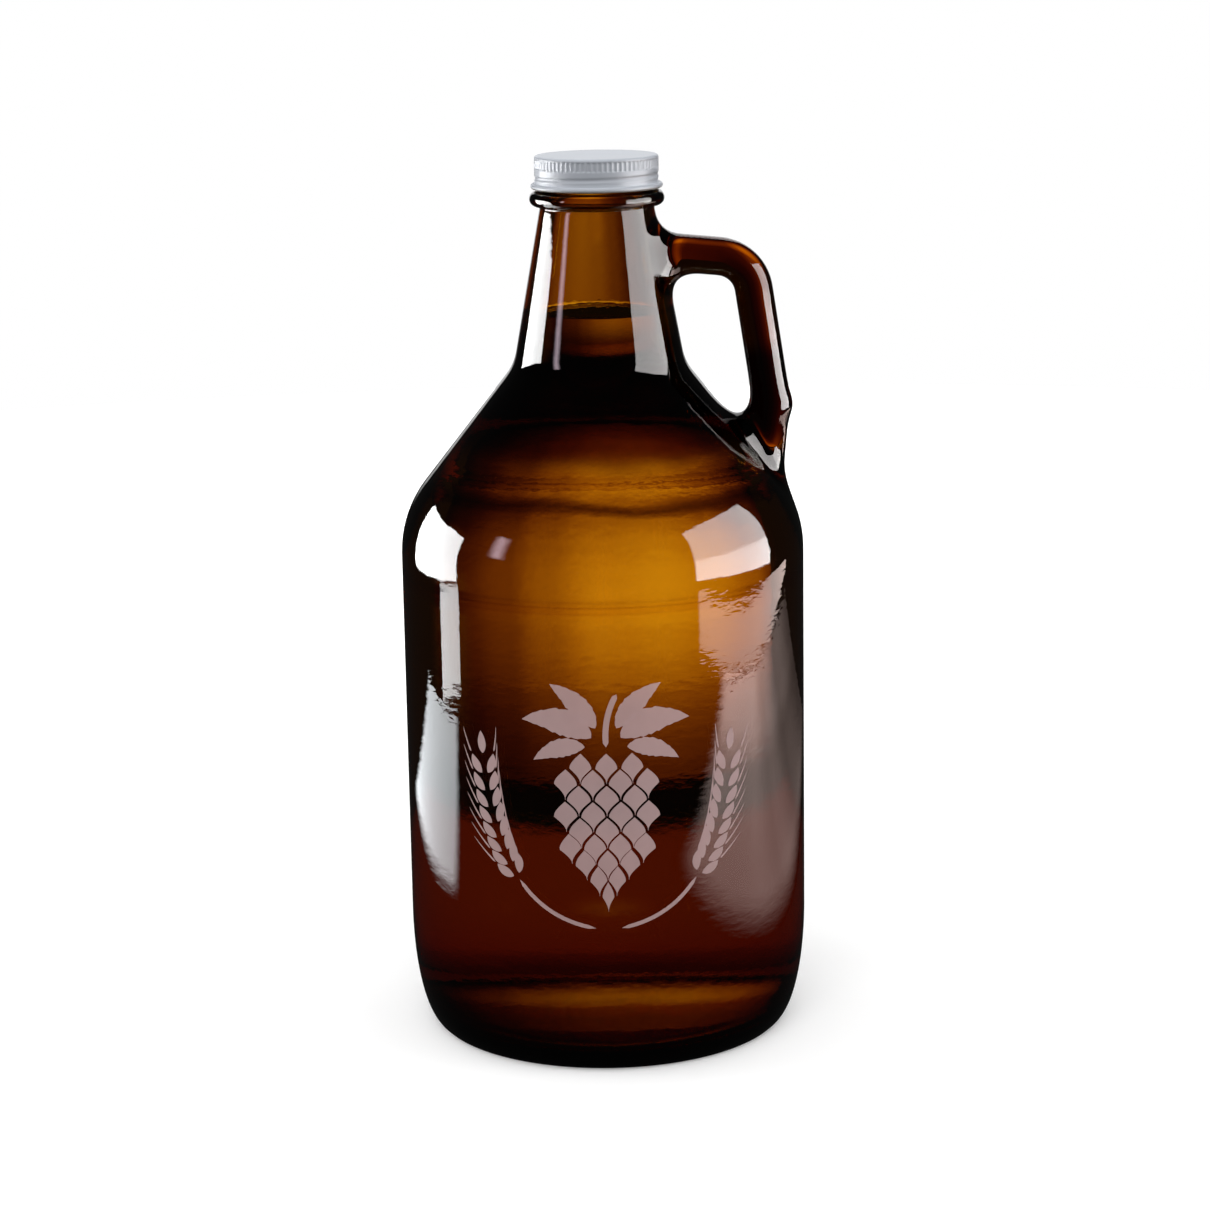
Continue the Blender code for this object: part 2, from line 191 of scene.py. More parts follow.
@dataclass
class Shell:
    """A mesh in the making: rows of points and the faces between them.

    Attributes:
        points: blocks of points, each an array of shape (n, 3).
        faces: faces as tuples of point numbers.
        count: how many points there are so far.
    """

    points: list[np.ndarray] = field(default_factory=list)
    faces: list[tuple[int, ...]] = field(default_factory=list)
    count: int = 0

    def add_points(self, points: np.ndarray) -> np.ndarray:
        """Add points and give back their numbers.

        Args:
            points: an array whose last axis holds x, y and z.

        Returns:
            One number for each point.
        """
        self.points.append(np.asarray(points, float).reshape(-1, 3))
        numbers = np.arange(self.count, self.count + len(self.points[-1]))
        self.count += len(numbers)
        return numbers

    def bridge(self, lower: np.ndarray, upper: np.ndarray) -> None:
        """Add a closed band of faces between two loops of one length.

        Args:
            lower: point numbers of one loop.
            upper: point numbers of the other.
        """
        after_lower, after_upper = np.roll(lower, -1), np.roll(upper, -1)
        self.faces += [tuple(int(n) for n in face)
                       for face in zip(lower, after_lower, after_upper, upper)]

    def fan(self, loop: np.ndarray, centre: np.ndarray, flip: bool) -> None:
        """Close a loop with triangles to a centre point.

        Args:
            loop: point numbers of the loop.
            centre: the centre point.
            flip: whether the triangles face the other way.
        """
        tip = int(self.add_points(centre)[0])
        for here, following in zip(loop, np.roll(loop, -1)):
            pair = (int(following), int(here)) if flip else (int(here), int(following))
            self.faces.append((*pair, tip))

    def lathe(self, outline: Sequence[Point], segments: int) -> list[np.ndarray]:
        """Turn an outline, without its points on the axis, into rows of points with faces.

        Args:
            outline: (radius, height) points, all of them off the axis.
            segments: how many columns go round.

        Returns:
            One array of point numbers for each row.
        """
        angles = np.arange(segments) * (2 * math.pi / segments)
        rows = [self.add_points(np.column_stack((
            radius * np.cos(angles), radius * np.sin(angles), np.full(segments, height))))
            for radius, height in outline]
        for lower, upper in zip(rows, rows[1:]):
            self.bridge(lower, upper)
        return rows

    def closed_lathe(self, outline: Sequence[Point], segments: int) -> list[np.ndarray]:
        """Turn an outline that starts and ends on the axis into a closed solid.

        Args:
            outline: (radius, height) points.
            segments: how many columns go round.

        Returns:
            One array of point numbers for each row off the axis.
        """
        rows = self.lathe(outline[1:-1], segments)
        self.fan(rows[0], np.array((0.0, 0.0, outline[0][1])), flip=True)
        self.fan(rows[-1], np.array((0.0, 0.0, outline[-1][1])), flip=False)
        return rows

    def make(self, name: str, material: bpy.types.Material,
             sharp: float = 50.0) -> bpy.types.Object:
        """Turn the shell into a linked, smooth shaded object without loose points.

        Args:
            name: the piece's name.
            material: what it is made of.
            sharp: edges that turn by more degrees than this stay sharp.

        Returns:
            The object.
        """
        used = np.unique(np.concatenate([np.array(face) for face in self.faces]))
        renumber = np.full(self.count, -1)
        renumber[used] = np.arange(len(used))
        points = np.concatenate(self.points)[used]
        faces = [tuple(int(renumber[n]) for n in face) for face in self.faces]
        mesh = bpy.data.meshes.new(name)
        mesh.from_pydata(points.tolist(), [], faces)
        mesh.validate()
        mesh.shade_smooth()
        mesh.set_sharp_from_angle(angle=math.radians(sharp))
        mesh.materials.append(material)
        obj = bpy.data.objects.new(name, mesh)
        bpy.context.scene.collection.objects.link(obj)
        return obj


# ---- Shader building ----

Operand = Union["Value", float]


class Value:
    """A socket of a node tree, with arithmetic that adds Math nodes."""

    def __init__(self, recipe: "Recipe", socket: bpy.types.NodeSocket) -> None:
        """Wrap one output socket of a recipe's tree."""
        self.recipe = recipe
        self.socket = socket

    def _math(self, operation: str, first: Operand, second: Operand) -> "Value":
        """Add one Math node that works on two operands."""
        return self.recipe.node("ShaderNodeMath", {"operation": operation},
                                {0: first, 1: second})

    def __add__(self, other: Operand) -> "Value":
        """Sum."""
        return self._math("ADD", self, other)

    def __radd__(self, other: Operand) -> "Value":
        """Sum with a number on the left."""
        return self._math("ADD", other, self)

    def __sub__(self, other: Operand) -> "Value":
        """Difference."""
        return self._math("SUBTRACT", self, other)

    def __rsub__(self, other: Operand) -> "Value":
        """Difference from a number on the left."""
        return self._math("SUBTRACT", other, self)

    def __mul__(self, other: Operand) -> "Value":
        """Product."""
        return self._math("MULTIPLY", self, other)

    def __rmul__(self, other: Operand) -> "Value":
        """Product with a number on the left."""
        return self._math("MULTIPLY", other, self)

    def __pow__(self, other: Operand) -> "Value":
        """Power."""
        return self._math("POWER", self, other)

    def step(self, low: float, high: float) -> "Value":
        """A smooth step from 0 at low to 1 at high, or down where low is the larger."""
        return self.recipe.node("ShaderNodeMapRange", {"interpolation_type": "SMOOTHSTEP"},
                                {"Value": self, "From Min": low, "From Max": high})


class Recipe:
    """A material's node tree round its Principled shader."""

    def __init__(self, name: str) -> None:
        """Start a material with nothing but its shader and output.

        Args:
            name: the material's name.
        """
        self.material = bpy.data.materials.new(name)
        self.material.use_nodes = True
        self.tree = self.material.node_tree
        self.shader = self.tree.nodes["Principled BSDF"]
        self.output = self.tree.nodes["Material Output"]

    def node(self, kind: str, settings: dict[str, Any], sockets: dict[Union[str, int], Any],
             out: Union[str, int] = 0) -> Value:
        """Add a node.

        Args:
            kind: the node's type.
            settings: its own settings, set first; "stops" are a ramp's positions and colours.
            sockets: values or links of its inputs, by name or number.
            out: the output to give back, by name or number.

        Returns:
            The wrapped output.
        """
        made = self.tree.nodes.new(kind)
        for name, setting in settings.items():
            if name == "stops":
                made.color_ramp.interpolation = "EASE"
                for place, shade in setting[2:]:
                    made.color_ramp.elements.new(place)
                for element, (place, shade) in zip(made.color_ramp.elements, sorted(setting)):
                    element.position = place
                    element.color = (shade, shade, shade, 1.0)
            else:
                setattr(made, name, setting)
        for name, value in sockets.items():
            self.feed(made.inputs[name], value)
        return Value(self, made.outputs[out])

    def feed(self, socket: bpy.types.NodeSocket, value: Any) -> None:
        """Link a wrapped value to a socket, or set the socket to a plain value.

        Args:
            socket: the input socket.
            value: what it gets.
        """
        if isinstance(value, Value):
            self.tree.links.new(value.socket, socket)
        elif socket.type == "RGBA":
            socket.default_value = (*value, 1.0)
        else:
            socket.default_value = value

    def surface(self, **sockets: Any) -> None:
        """Set or link inputs of the Principled shader; underscores stand for spaces."""
        for name, value in sockets.items():
            self.feed(self.shader.inputs[name.replace("_", " ")], value)

    def place(self, stretch: tuple[float, float, float] = (1.0, 1.0, 1.0)) -> Value:
        """The place on the piece in metres, stretched along the axes.

        Args:
            stretch: one factor for each axis.

        Returns:
            The place as a vector.
        """
        place = self.node("ShaderNodeTexCoord", {}, {}, "Object")
        return self.node("ShaderNodeVectorMath", {"operation": "MULTIPLY"},
                         {0: place, 1: stretch})

    def height(self) -> Value:
        """The height above the floor in metres."""
        return self.node("ShaderNodeSeparateXYZ", {},
                         {0: self.node("ShaderNodeTexCoord", {}, {}, "Object")}, "Z")

    def noise(self, place: Value, scale: float, detail: float = 2.0,
              roughness: float = 0.5) -> Value:
        """Soft noise from 0 to 1.

        Args:
            place: where on the piece it is read.
            scale: about how many waves a metre has.
            detail: how many finer layers it has.
            roughness: how strong each finer layer is.

        Returns:
            The noise.
        """
        return self.node("ShaderNodeTexNoise", {},
                         {"Vector": place, "Scale": scale, "Detail": detail,
                          "Roughness": roughness})

    def mixed(self, share: Operand, first: Any, second: Any) -> Value:
        """A colour between two colours."""
        return self.node("ShaderNodeMix", {"data_type": "RGBA"}, {0: share, 6: first, 7: second},
                         2)

    def bump(self, relief: Value, strength: float = 1.0) -> None:
        """Raise the surface by a relief in metres."""
        self.surface(Normal=self.node("ShaderNodeBump", {}, {
            "Height": relief, "Distance": 1.0, "Strength": strength}))

    def absorb(self, red: float, green: float, blue: float) -> None:
        """Fill the piece with a clear tint that takes these shares off in each metre.

        Args:
            red: how strongly it takes off red.
            green: the same for green.
            blue: the same for blue.
        """
        density = max(red, green, blue)
        volume = self.node("ShaderNodeVolumeAbsorption", {}, {
            "Color": (1 - red / density, 1 - green / density, 1 - blue / density),
            "Density": density})
        self.tree.links.new(volume.socket, self.output.inputs["Volume"])


# ---- Finishes ----

@dataclass(frozen=True)
class AmberGlass:
    """Blown amber glass with the faint ripples that the mould leaves, and painted shade.

    Attributes:
        ior: how strongly it bends light.
        tint: what a metre of it takes off red, green and blue.
        swell: height of the broad waves in metres.
        ripple: height of the fine ripples in metres.
        stipple: height of the pebbled bearing ring in metres.
        clear: share of light that a face lets through away from the painted shade.
        heel: that share darkened at the heel, painted shade for the dark base.
        shoulder: that share darkened on the upper shoulder and on a thin band (lap) under it,
            painted shade.
        bearing_fade: heights where the pebbles start and where they are full.
        heel_shade_fade: heights where the heel's painted shade starts and where it is darkest.
        shoulder_shade_foot: heights over which the shoulder's painted shade grows from below.
        shoulder_shade_top: heights over which it grows from above.
        lap_shade_foot: heights over which the lap's painted shade grows from below.
        lap_shade_top: heights over which it grows from above.
        lap_shade_share: how much of the shoulder's painted shade the lap has.
        wander: how far these heights wander round the jug, in metres.
        swell_scale: about how many broad waves a metre has.
        ripple_scale: the same for the fine ripples.
        ripple_stretch: how much closer together they are along each axis.
        pebble_scale: the same count for the pebbles.
        haze_scale: the same count for the patches of faint haze.
        haze_fade: noise between which a patch grows from clear to full.
        gloss: roughness where the glass is clear.
        haze: roughness that a full patch adds.
    """

    ior: float = 1.52
    tint: Colour = (60.0, 175.0, 700.0)
    swell: float = 0.00005
    ripple: float = 0.00003
    stipple: float = 0.00012
    clear: Colour = (1.0, 1.0, 1.0)
    heel: Colour = (0.35, 0.16, 0.12)
    shoulder: Colour = (0.170, 0.055, 0.050)
    bearing_fade: Point = (0.0030, 0.0010)
    heel_shade_fade: Point = (0.0075, 0.0030)
    shoulder_shade_foot: Point = (0.1850, 0.1930)
    shoulder_shade_top: Point = (0.2235, 0.2150)
    lap_shade_foot: Point = (0.1755, 0.1768)
    lap_shade_top: Point = (0.1795, 0.1778)
    lap_shade_share: float = 0.8
    wander: float = 0.006
    swell_scale: float = 38.0
    ripple_scale: float = 330.0
    ripple_stretch: Colour = (0.55, 0.55, 1.25)
    pebble_scale: float = 900.0
    haze_scale: float = 55.0
    haze_fade: Point = (0.55, 0.9)
    gloss: float = 0.003
    haze: float = 0.02

    def material(self) -> bpy.types.Material:
        """The glass as a material.

        Returns:
            The material.
        """
        recipe = Recipe("amber_glass_blown")
        place = recipe.place()
        broad = recipe.noise(place, self.swell_scale, 1.0)
        fine = recipe.noise(recipe.place(self.ripple_stretch), self.ripple_scale, 2.0, 0.55)
        pebbles = (recipe.noise(place, self.pebble_scale, 1.0)
                   * recipe.height().step(*self.bearing_fade))
        recipe.bump(broad * self.swell + fine * self.ripple + pebbles * self.stipple)
        haze = recipe.noise(place, self.haze_scale, 3.0).step(*self.haze_fade)
        level = recipe.height() + (broad * self.wander - self.wander / 2)
        # Painted shade: the glass's colour darkens towards the heel, standing in for its dark
        # base.
        heel = level.step(*self.heel_shade_fade)
        # Painted shade: a darker band on the upper shoulder and a thin one (the lap) under it.
        shoulder = level.step(*self.shoulder_shade_foot) * level.step(*self.shoulder_shade_top)
        lap = level.step(*self.lap_shade_foot) * level.step(*self.lap_shade_top)
        colour = recipe.mixed(heel, self.clear, self.heel)
        colour = recipe.mixed(shoulder, colour, self.shoulder)
        recipe.surface(Base_Color=recipe.mixed(lap * self.lap_shade_share, colour, self.shoulder),
                       Roughness=haze * self.haze + self.gloss, IOR=self.ior,
                       Transmission_Weight=1.0)
        recipe.absorb(*self.tint)
        return recipe.material


@dataclass(frozen=True)
class PaleBeer:
    """Clear golden beer, its colour darkened towards its bottom with painted shade.

    Attributes:
        ior: how strongly it bends light.
        tint: what a metre of it takes off red, green and blue.
        clear: share of light that its sides and its top let through.
        bottom_shade_colour: painted shade, the darker share that the beer's bottom lets through.
        bottom_shade_fade: heights where that painted shade starts and where it is full.
    """

    ior: float = 1.34
    tint: Colour = (0.5, 1.6, 6.0)
    clear: Colour = (1.0, 1.0, 1.0)
    bottom_shade_colour: Colour = (0.32, 0.17, 0.12)
    bottom_shade_fade: Point = (0.0135, 0.0100)

    def material(self) -> bpy.types.Material:
        """The beer as a material.

        Returns:
            The material.
        """
        recipe = Recipe("pale_beer")
        # Painted shade: the beer's colour darkens towards its bottom, for the jug's dark base.
        layer = recipe.height().step(*self.bottom_shade_fade)
        recipe.surface(Base_Color=recipe.mixed(layer, self.clear, self.bottom_shade_colour), Roughness=0.0,
                       IOR=self.ior, Transmission_Weight=1.0)
        recipe.absorb(*self.tint)
        return recipe.material


@dataclass(frozen=True)
class EtchedFrost:
    """Sand-blasted glass: a matt, half see-through skin.

    Attributes:
        colour: the colour of the frost.
        cover: how much of the glass each face of the skin hides.
    """

    colour: Colour = (0.80, 0.57, 0.56)
    cover: float = 0.52

    def material(self) -> bpy.types.Material:
        """The frost as a material.

        Returns:
            The material.
        """
        recipe = Recipe("etched_frost")
        place = recipe.place()
        cloud = recipe.noise(place, 90.0, 3.0)
        grit = recipe.noise(place, 3200.0, 2.0, 0.7)
        pale = tuple(min(1.0, part * 1.15) for part in self.colour)
        recipe.surface(Base_Color=recipe.mixed(cloud, self.colour, pale),
                       Roughness=grit * 0.2 + 0.55,
                       Alpha=cloud * 0.05 + (self.cover - 0.025), Specular_IOR_Level=0.25)
        recipe.bump(grit * 0.000012)
        return recipe.material


@dataclass(frozen=True)
class WhiteEnamel:
    """Baked white enamel on rolled sheet metal, faintly blue, with an orange-peel skin.

    Attributes:
        colour: the colour of the enamel.
        edge_colour: the warmer colour where it runs thin at the hem.
    """

    colour: Colour = (0.43, 0.455, 0.50)
    edge_colour: Colour = (0.47, 0.455, 0.40)

    def material(self, hem_height: float, hem_depth: float) -> bpy.types.Material:
        """The enamel as a material.

        Args:
            hem_height: height of the hem's lower edge in metres.
            hem_depth: how far up the warmer colour runs, in metres.

        Returns:
            The material.
        """
        recipe = Recipe("baked_white_enamel")
        place = recipe.place()
        peel = recipe.noise(place, 620.0, 2.0)
        cloud = recipe.noise(place, 70.0, 2.0)
        thin = recipe.height().step(hem_height + hem_depth, hem_height)
        shade = recipe.mixed(cloud, self.colour, tuple(part * 1.06 for part in self.colour))
        recipe.surface(Base_Color=recipe.mixed(thin, shade, self.edge_colour),
                       Roughness=cloud * 0.10 + 0.40, Coat_Weight=0.15, Coat_Roughness=0.20)
        recipe.bump(peel * 0.000008 + cloud * 0.00001)
        return recipe.material


@dataclass(frozen=True)
class PulpBoard:
    """Grey-brown pressed pulp with visible fibres.

    Attributes:
        colour: the board's colour.
        fibre_colour: the colour of its darker fibres.
    """

    colour: Colour = (0.62, 0.53, 0.40)
    fibre_colour: Colour = (0.40, 0.31, 0.20)

    def material(self) -> bpy.types.Material:
        """The board as a material.

        Returns:
            The material.
        """
        recipe = Recipe("pressed_pulp")
        fibre = recipe.noise(recipe.place((1.0, 0.25, 1.0)), 1400.0, 4.0, 0.7)
        crossing = recipe.noise(recipe.place((0.25, 1.0, 1.0)), 1700.0, 4.0, 0.7)
        mask = (fibre * crossing).step(0.24, 0.36)
        recipe.surface(Base_Color=recipe.mixed(mask, self.colour, self.fibre_colour),
                       Roughness=mask * 0.08 + 0.88)
        recipe.bump((fibre + crossing) * 0.00006)
        return recipe.material


@dataclass(frozen=True)
class LinerFilm:
    """Milky sealing film with a soft gloss.

    Attributes:
        colour: the film's colour.
        worn_colour: its colour where the rim has pressed it.
    """

    colour: Colour = (0.85, 0.84, 0.80)
    worn_colour: Colour = (0.70, 0.67, 0.60)

    def material(self, rim_radius: float, rim_width: float) -> bpy.types.Material:
        """The film as a material.

        Args:
            rim_radius: radius of the ring that the jug's rim presses in, in metres.
            rim_width: that ring's width in metres.

        Returns:
            The material.
        """
        recipe = Recipe("milky_film")
        flat = recipe.place((1.0, 1.0, 0.0))
        radius = recipe.node("ShaderNodeVectorMath", {"operation": "LENGTH"}, {0: flat}, "Value")
        inner = radius.step(rim_radius - rim_width, rim_radius - rim_width * 0.6)
        outer = radius.step(rim_radius + rim_width, rim_radius + rim_width * 0.6)
        pressed = inner * outer
        cloud = recipe.noise(recipe.place(), 160.0, 3.0)
        recipe.surface(Base_Color=recipe.mixed(pressed * cloud, self.colour, self.worn_colour),
                       Roughness=cloud * 0.15 + 0.28)
        recipe.bump(cloud * 0.00004 - pressed * 0.00005)
        return recipe.material


@dataclass(frozen=True)
class StudioFloor:
    """A plain pale floor.

    Attributes:
        colour: its colour under the lights.
        glow: how bright it is by itself near the jug, where the jug's shadow shows.
        far_glow: how bright it is by itself far off, where the lamps no longer reach.
        glow_fade: distances from the jug between which the glow grows.
        first_ring: radius of its innermost ring of points in metres.
        growth: how much wider each ring is than the one inside it.
        rings: how many rings it has.
        columns: how many points each ring has.
    """

    colour: Colour = (0.80, 0.80, 0.80)
    glow: float = 0.26
    far_glow: float = 0.85
    glow_fade: Point = (0.16, 0.62)
    first_ring: float = 0.02
    growth: float = 1.35
    rings: int = 15
    columns: int = 96

    def material(self) -> bpy.types.Material:
        """The floor as a material.

        Returns:
            The material.
        """
        recipe = Recipe("pale_floor")
        away = recipe.node("ShaderNodeVectorMath", {"operation": "LENGTH"},
                           {0: recipe.place()}, "Value").step(*self.glow_fade)
        near, far = (self.glow,) * 3, (self.far_glow,) * 3
        recipe.surface(Base_Color=self.colour, Roughness=0.9, Specular_IOR_Level=0.0,
                       Emission_Color=recipe.mixed(away, near, far), Emission_Strength=1.0)
        return recipe.material


# ---- Jug ----

@dataclass
class Handle:
    """The finger-loop handle: a bent bar of glass from the neck to the shoulder.

    Attributes:
        line: points of its centre line in the plane of the loop, from the neck down.
        thickness: the bar's thickness in the plane of the loop.
        width: its width across that plane.
        power: how square its section is; 2 is an ellipse.
        kink_height: height of the swelling where the mould halves' inserts meet.
        kink: how far that swelling stands out.
        kink_reach: how far it runs up and down the bar.
        corner: lengths along the bar between which the neck's rounding gives way to the foot's.
        blend_above: reach of the rounding above the arm's root.
        blend_below: reach of the rounding below the arm's root.
        blend_out: reach of the rounding round the foot, at its sides and outside.
        blend_in: reach of the rounding in the notch between grip and shoulder.
        stations: rings of points between the two roots.
        lead: rings of points from each root to the free bar.
        free_from: length from the root at the neck to the first ring of the free bar.
        free_to: length from its last ring to the root at the foot.
        margin: rings and columns round each root that may slide to even out.
    """

    line: np.ndarray
    thickness: float = 0.0119
    width: float = 0.0145
    power: float = 2.25
    kink_height: float = 0.2005
    kink: float = 0.0011
    kink_reach: float = 0.0042
    corner: Point = (0.030, 0.040)
    blend_above: float = 0.0065
    blend_below: float = 0.0105
    blend_out: float = 0.0055
    blend_in: float = 0.0135
    stations: int = 52
    lead: int = 9
    free_from: float = 0.0215
    free_to: float = 0.0235
    margin: int = 5

    def __post_init__(self) -> None:
        """Measure the centre line once."""
        steps = np.linalg.norm(np.diff(self.line, axis=0), axis=1)
        self.lengths = np.concatenate(([0.0], np.cumsum(steps)))

    def point_at(self, place: float) -> tuple[np.ndarray, np.ndarray]:
        """The centre line's point at a length along it, and the way out of the loop there.

        Args:
            place: the length along the line.

        Returns:
            The point and a unit vector, both in the plane of the loop.
        """
        x = np.interp(place, self.lengths, self.line[:, 0])
        z = np.interp(place, self.lengths, self.line[:, 1])
        reach = 0.001
        ahead = [np.interp(place + reach, self.lengths, self.line[:, axis]) for axis in (0, 1)]
        behind = [np.interp(place - reach, self.lengths, self.line[:, axis]) for axis in (0, 1)]
        along = np.subtract(ahead, behind)
        along /= np.linalg.norm(along)
        return np.array((x, z)), np.array((-along[1], along[0]))

    def ring(self, place: float, count: int) -> np.ndarray:
        """A ring of points round the bar, from the outside of the loop towards +Y.

        Args:
            place: the length along the centre line.
            count: how many points the ring has.

        Returns:
            An array of shape (count, 3).
        """
        centre, outward = self.point_at(place)
        angles = np.arange(count) * (2 * math.pi / count)
        cos, sin = np.cos(angles), np.sin(angles)
        across = np.sign(cos) * np.abs(cos) ** (2 / self.power) * self.thickness / 2
        side = np.sign(sin) * np.abs(sin) ** (2 / self.power) * self.width / 2
        return np.column_stack((centre[0] + outward[0] * across, side,
                                centre[1] + outward[1] * across))

    def distance(self, points: np.ndarray) -> tuple[np.ndarray, np.ndarray]:
        """How far points are from the bar's surface, and the rounding's reach there.

        Args:
            points: array of shape (n, 3).

        Returns:
            The signed distance, negative inside, and the reach of the rounding.
        """
        across, place = offset_from(self.line, points[:, [0, 2]])
        kink = np.exp(-((points[:, 2] - self.kink_height) / self.kink_reach) ** 2) * (across > 0)
        past_corner = stretch_between(place, *self.corner)
        half = self.thickness / 2 + self.kink * kink * past_corner
        reach = np.hypot(across, points[:, 1]) + 1e-9
        shape = ((np.abs(across) / half) ** self.power
                 + (np.abs(points[:, 1]) / (self.width / 2)) ** self.power) ** (1 / self.power)
        gap = reach - reach / np.maximum(shape, 1e-6)
        inward = stretch_between(-across / reach, 0.1, 0.9)
        at_neck = self.blend_above + (self.blend_below - self.blend_above) * inward
        at_foot = self.blend_out + (self.blend_in - self.blend_out) * inward
        return gap, at_neck + (at_foot - at_neck) * past_corner


def offset_from(path: np.ndarray, points: np.ndarray) -> tuple[np.ndarray, np.ndarray]:
    """How far points in a plane are from a path, and where along it they are.

    Args:
        path: array of shape (m, 2).
        points: array of shape (n, 2).

    Returns:
        The distance, positive on the path's left, and the length along the path.
    """
    start, run = path[:-1], np.diff(path, axis=0)
    size = np.linalg.norm(run, axis=1)
    gap = points[:, None, :] - start
    share = np.clip((gap * run).sum(2) / size ** 2, 0.0, 1.0)
    gap = gap - share[..., None] * run
    nearest = (gap ** 2).sum(2).argmin(1)
    rows = np.arange(len(points))
    gap, share, run = gap[rows, nearest], share[rows, nearest], run[nearest]
    side = np.sign(run[:, 0] * gap[:, 1] - run[:, 1] * gap[:, 0])
    before = np.concatenate(([0.0], np.cumsum(size)))[nearest]
    return side * np.linalg.norm(gap, axis=1), before + share * size[nearest]


@dataclass
class GlassJug:
    """The moulded jug: body, shoulder, neck, finish and handle in one piece of glass.

    Attributes:
        body_radius: outer radius of the body.
        wall: thickness of the body's wall.
        corner_height: height where the side and the shoulder's slope would meet.
        shoulder_angle: how far that slope leans from upright, in degrees.
        shoulder_rounding: rounding of that corner.
        flare_rounding: rounding between the slope and the neck.
        neck_base_radius: radius where the slope and the neck's cone would meet.
        neck_height: height from that meeting place up to the ring.
        neck_top_radius: radius of the neck under the ring.
        heel_height: height of the rounded heel.
        heel_inset: how far the heel runs in.
        inner_heel_inset: how far the hollow's heel runs in.
        bearing_width: width of the ring that it stands on.
        bearing_lip: rounding of that ring's inner edge.
        bearing_rise: height where the base's middle begins inside it.
        base_thickness: thickness of the base at its edge.
        punt: how far the middle of the base is pushed up.
        ring_radius: radius of the ring under the cap.
        ring_height: height of that ring.
        root_rounding: rounding where the ring meets the walls over and under it.
        finish_radius: radius of the wall between the threads.
        bore_radius: radius of the mouth.
        rim_rounding: rounding of the rim.
        thread_depth: how far the thread stands out.
        thread_pitch: rise of the thread in one turn.
        thread_turns: how many turns it has.
        thread_drop: how far under the rim it starts.
        bead: distances from the thread's middle between which it falls away.
        ledge: how much thicker the wall is in the ring at the shoulder's foot.
        ledge_height: height of that ring.
        ledge_reach: how far it runs up and down.
        arm_drop: how far under the ring the handle's arm leaves the neck.
        arm_root: how deep the arm starts inside the neck.
        arm_end: how far in from the body's side the arm ends, and how much lower.
        knee: how far in the grip's lower end is, and how high over the slope.
        foot: how far in the foot ends, and how deep under the slope.
        bar_roundings: roundings of the handle's two corners.
        bar_cells: steps along the handle's centre line.
        segments: columns of points round the jug.
        side_rows: rows under the foot's window, between the windows and over the neck's.
        heel_rows: rows of the heel.
        finish_rows: rows of the threaded wall.
        hollow_rows: rows of the hollow.
        hollow_start: radius where the hollow's rows start.
        mouth_gap: height left between the rim's rounding and the hollow's first row.
        slide_rounds: rounds of evening out at the handle's roots.
        foot_window: lowest and highest height, rows and half the columns of the wall's
            window for the handle's foot.
        neck_window: the same for the window at the neck.
    """

    body_radius: float = 0.0640
    wall: float = 0.0037
    corner_height: float = 0.1675
    shoulder_angle: float = 38.3
    shoulder_rounding: float = 0.0360
    flare_rounding: float = 0.0160
    neck_base_radius: float = 0.0269
    neck_top_radius: float = 0.0178
    neck_height: float = 0.0495
    heel_height: float = 0.0374
    heel_inset: float = 0.0091
    inner_heel_inset: float = 0.0160
    bearing_width: float = 0.0080
    bearing_lip: float = 0.0010
    bearing_rise: float = 0.0008
    base_thickness: float = 0.0060
    punt: float = 0.0040
    ring_radius: float = 0.0211
    ring_height: float = 0.0048
    root_rounding: float = 0.0007
    finish_radius: float = 0.0174
    bore_radius: float = 0.0143
    rim_rounding: float = 0.0008
    thread_depth: float = 0.0010
    thread_pitch: float = 0.004233
    thread_turns: float = 1.10
    thread_drop: float = 0.0021
    bead: Point = (0.00035, 0.00115)
    ledge: float = 0.0008
    ledge_height: float = 0.1480
    ledge_reach: float = 0.0016
    arm_drop: float = 0.0138
    arm_root: float = 0.0100
    arm_end: Point = (0.0167, 0.0036)
    knee: Point = (0.0100, 0.0220)
    foot: Point = (0.0128, 0.0120)
    bar_roundings: Point = (0.0120, 0.0300)
    bar_cells: int = 110
    segments: int = 192
    side_rows: tuple[int, int, int] = (56, 26, 4)
    heel_rows: int = 26
    finish_rows: int = 30
    hollow_rows: int = 230
    hollow_start: float = 0.004
    mouth_gap: float = 0.0002
    slide_rounds: int = 14
    foot_window: tuple[float, float, int, int] = (0.1695, 0.1998, 32, 9)
    neck_window: tuple[float, float, int, int] = (0.2400, 0.2595, 22, 14)

    def __post_init__(self) -> None:
        """Work out the heights that follow from the sizes and the frame."""
        run = (self.body_radius - self.neck_base_radius) / math.tan(
            math.radians(self.shoulder_angle))
        self.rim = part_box("glass_jug")[1].z
        self.neck_base_height = self.corner_height + run
        self.ring_bottom = self.neck_base_height + self.neck_height
        self.ring_top = self.ring_bottom + self.ring_height
        self.corners = [(self.body_radius, self.heel_height),
                        (self.body_radius, self.corner_height),
                        (self.neck_base_radius, self.neck_base_height),
                        (self.neck_top_radius, self.ring_bottom)]
        self.side = rounded(self.corners, (self.shoulder_rounding, self.flare_rounding))

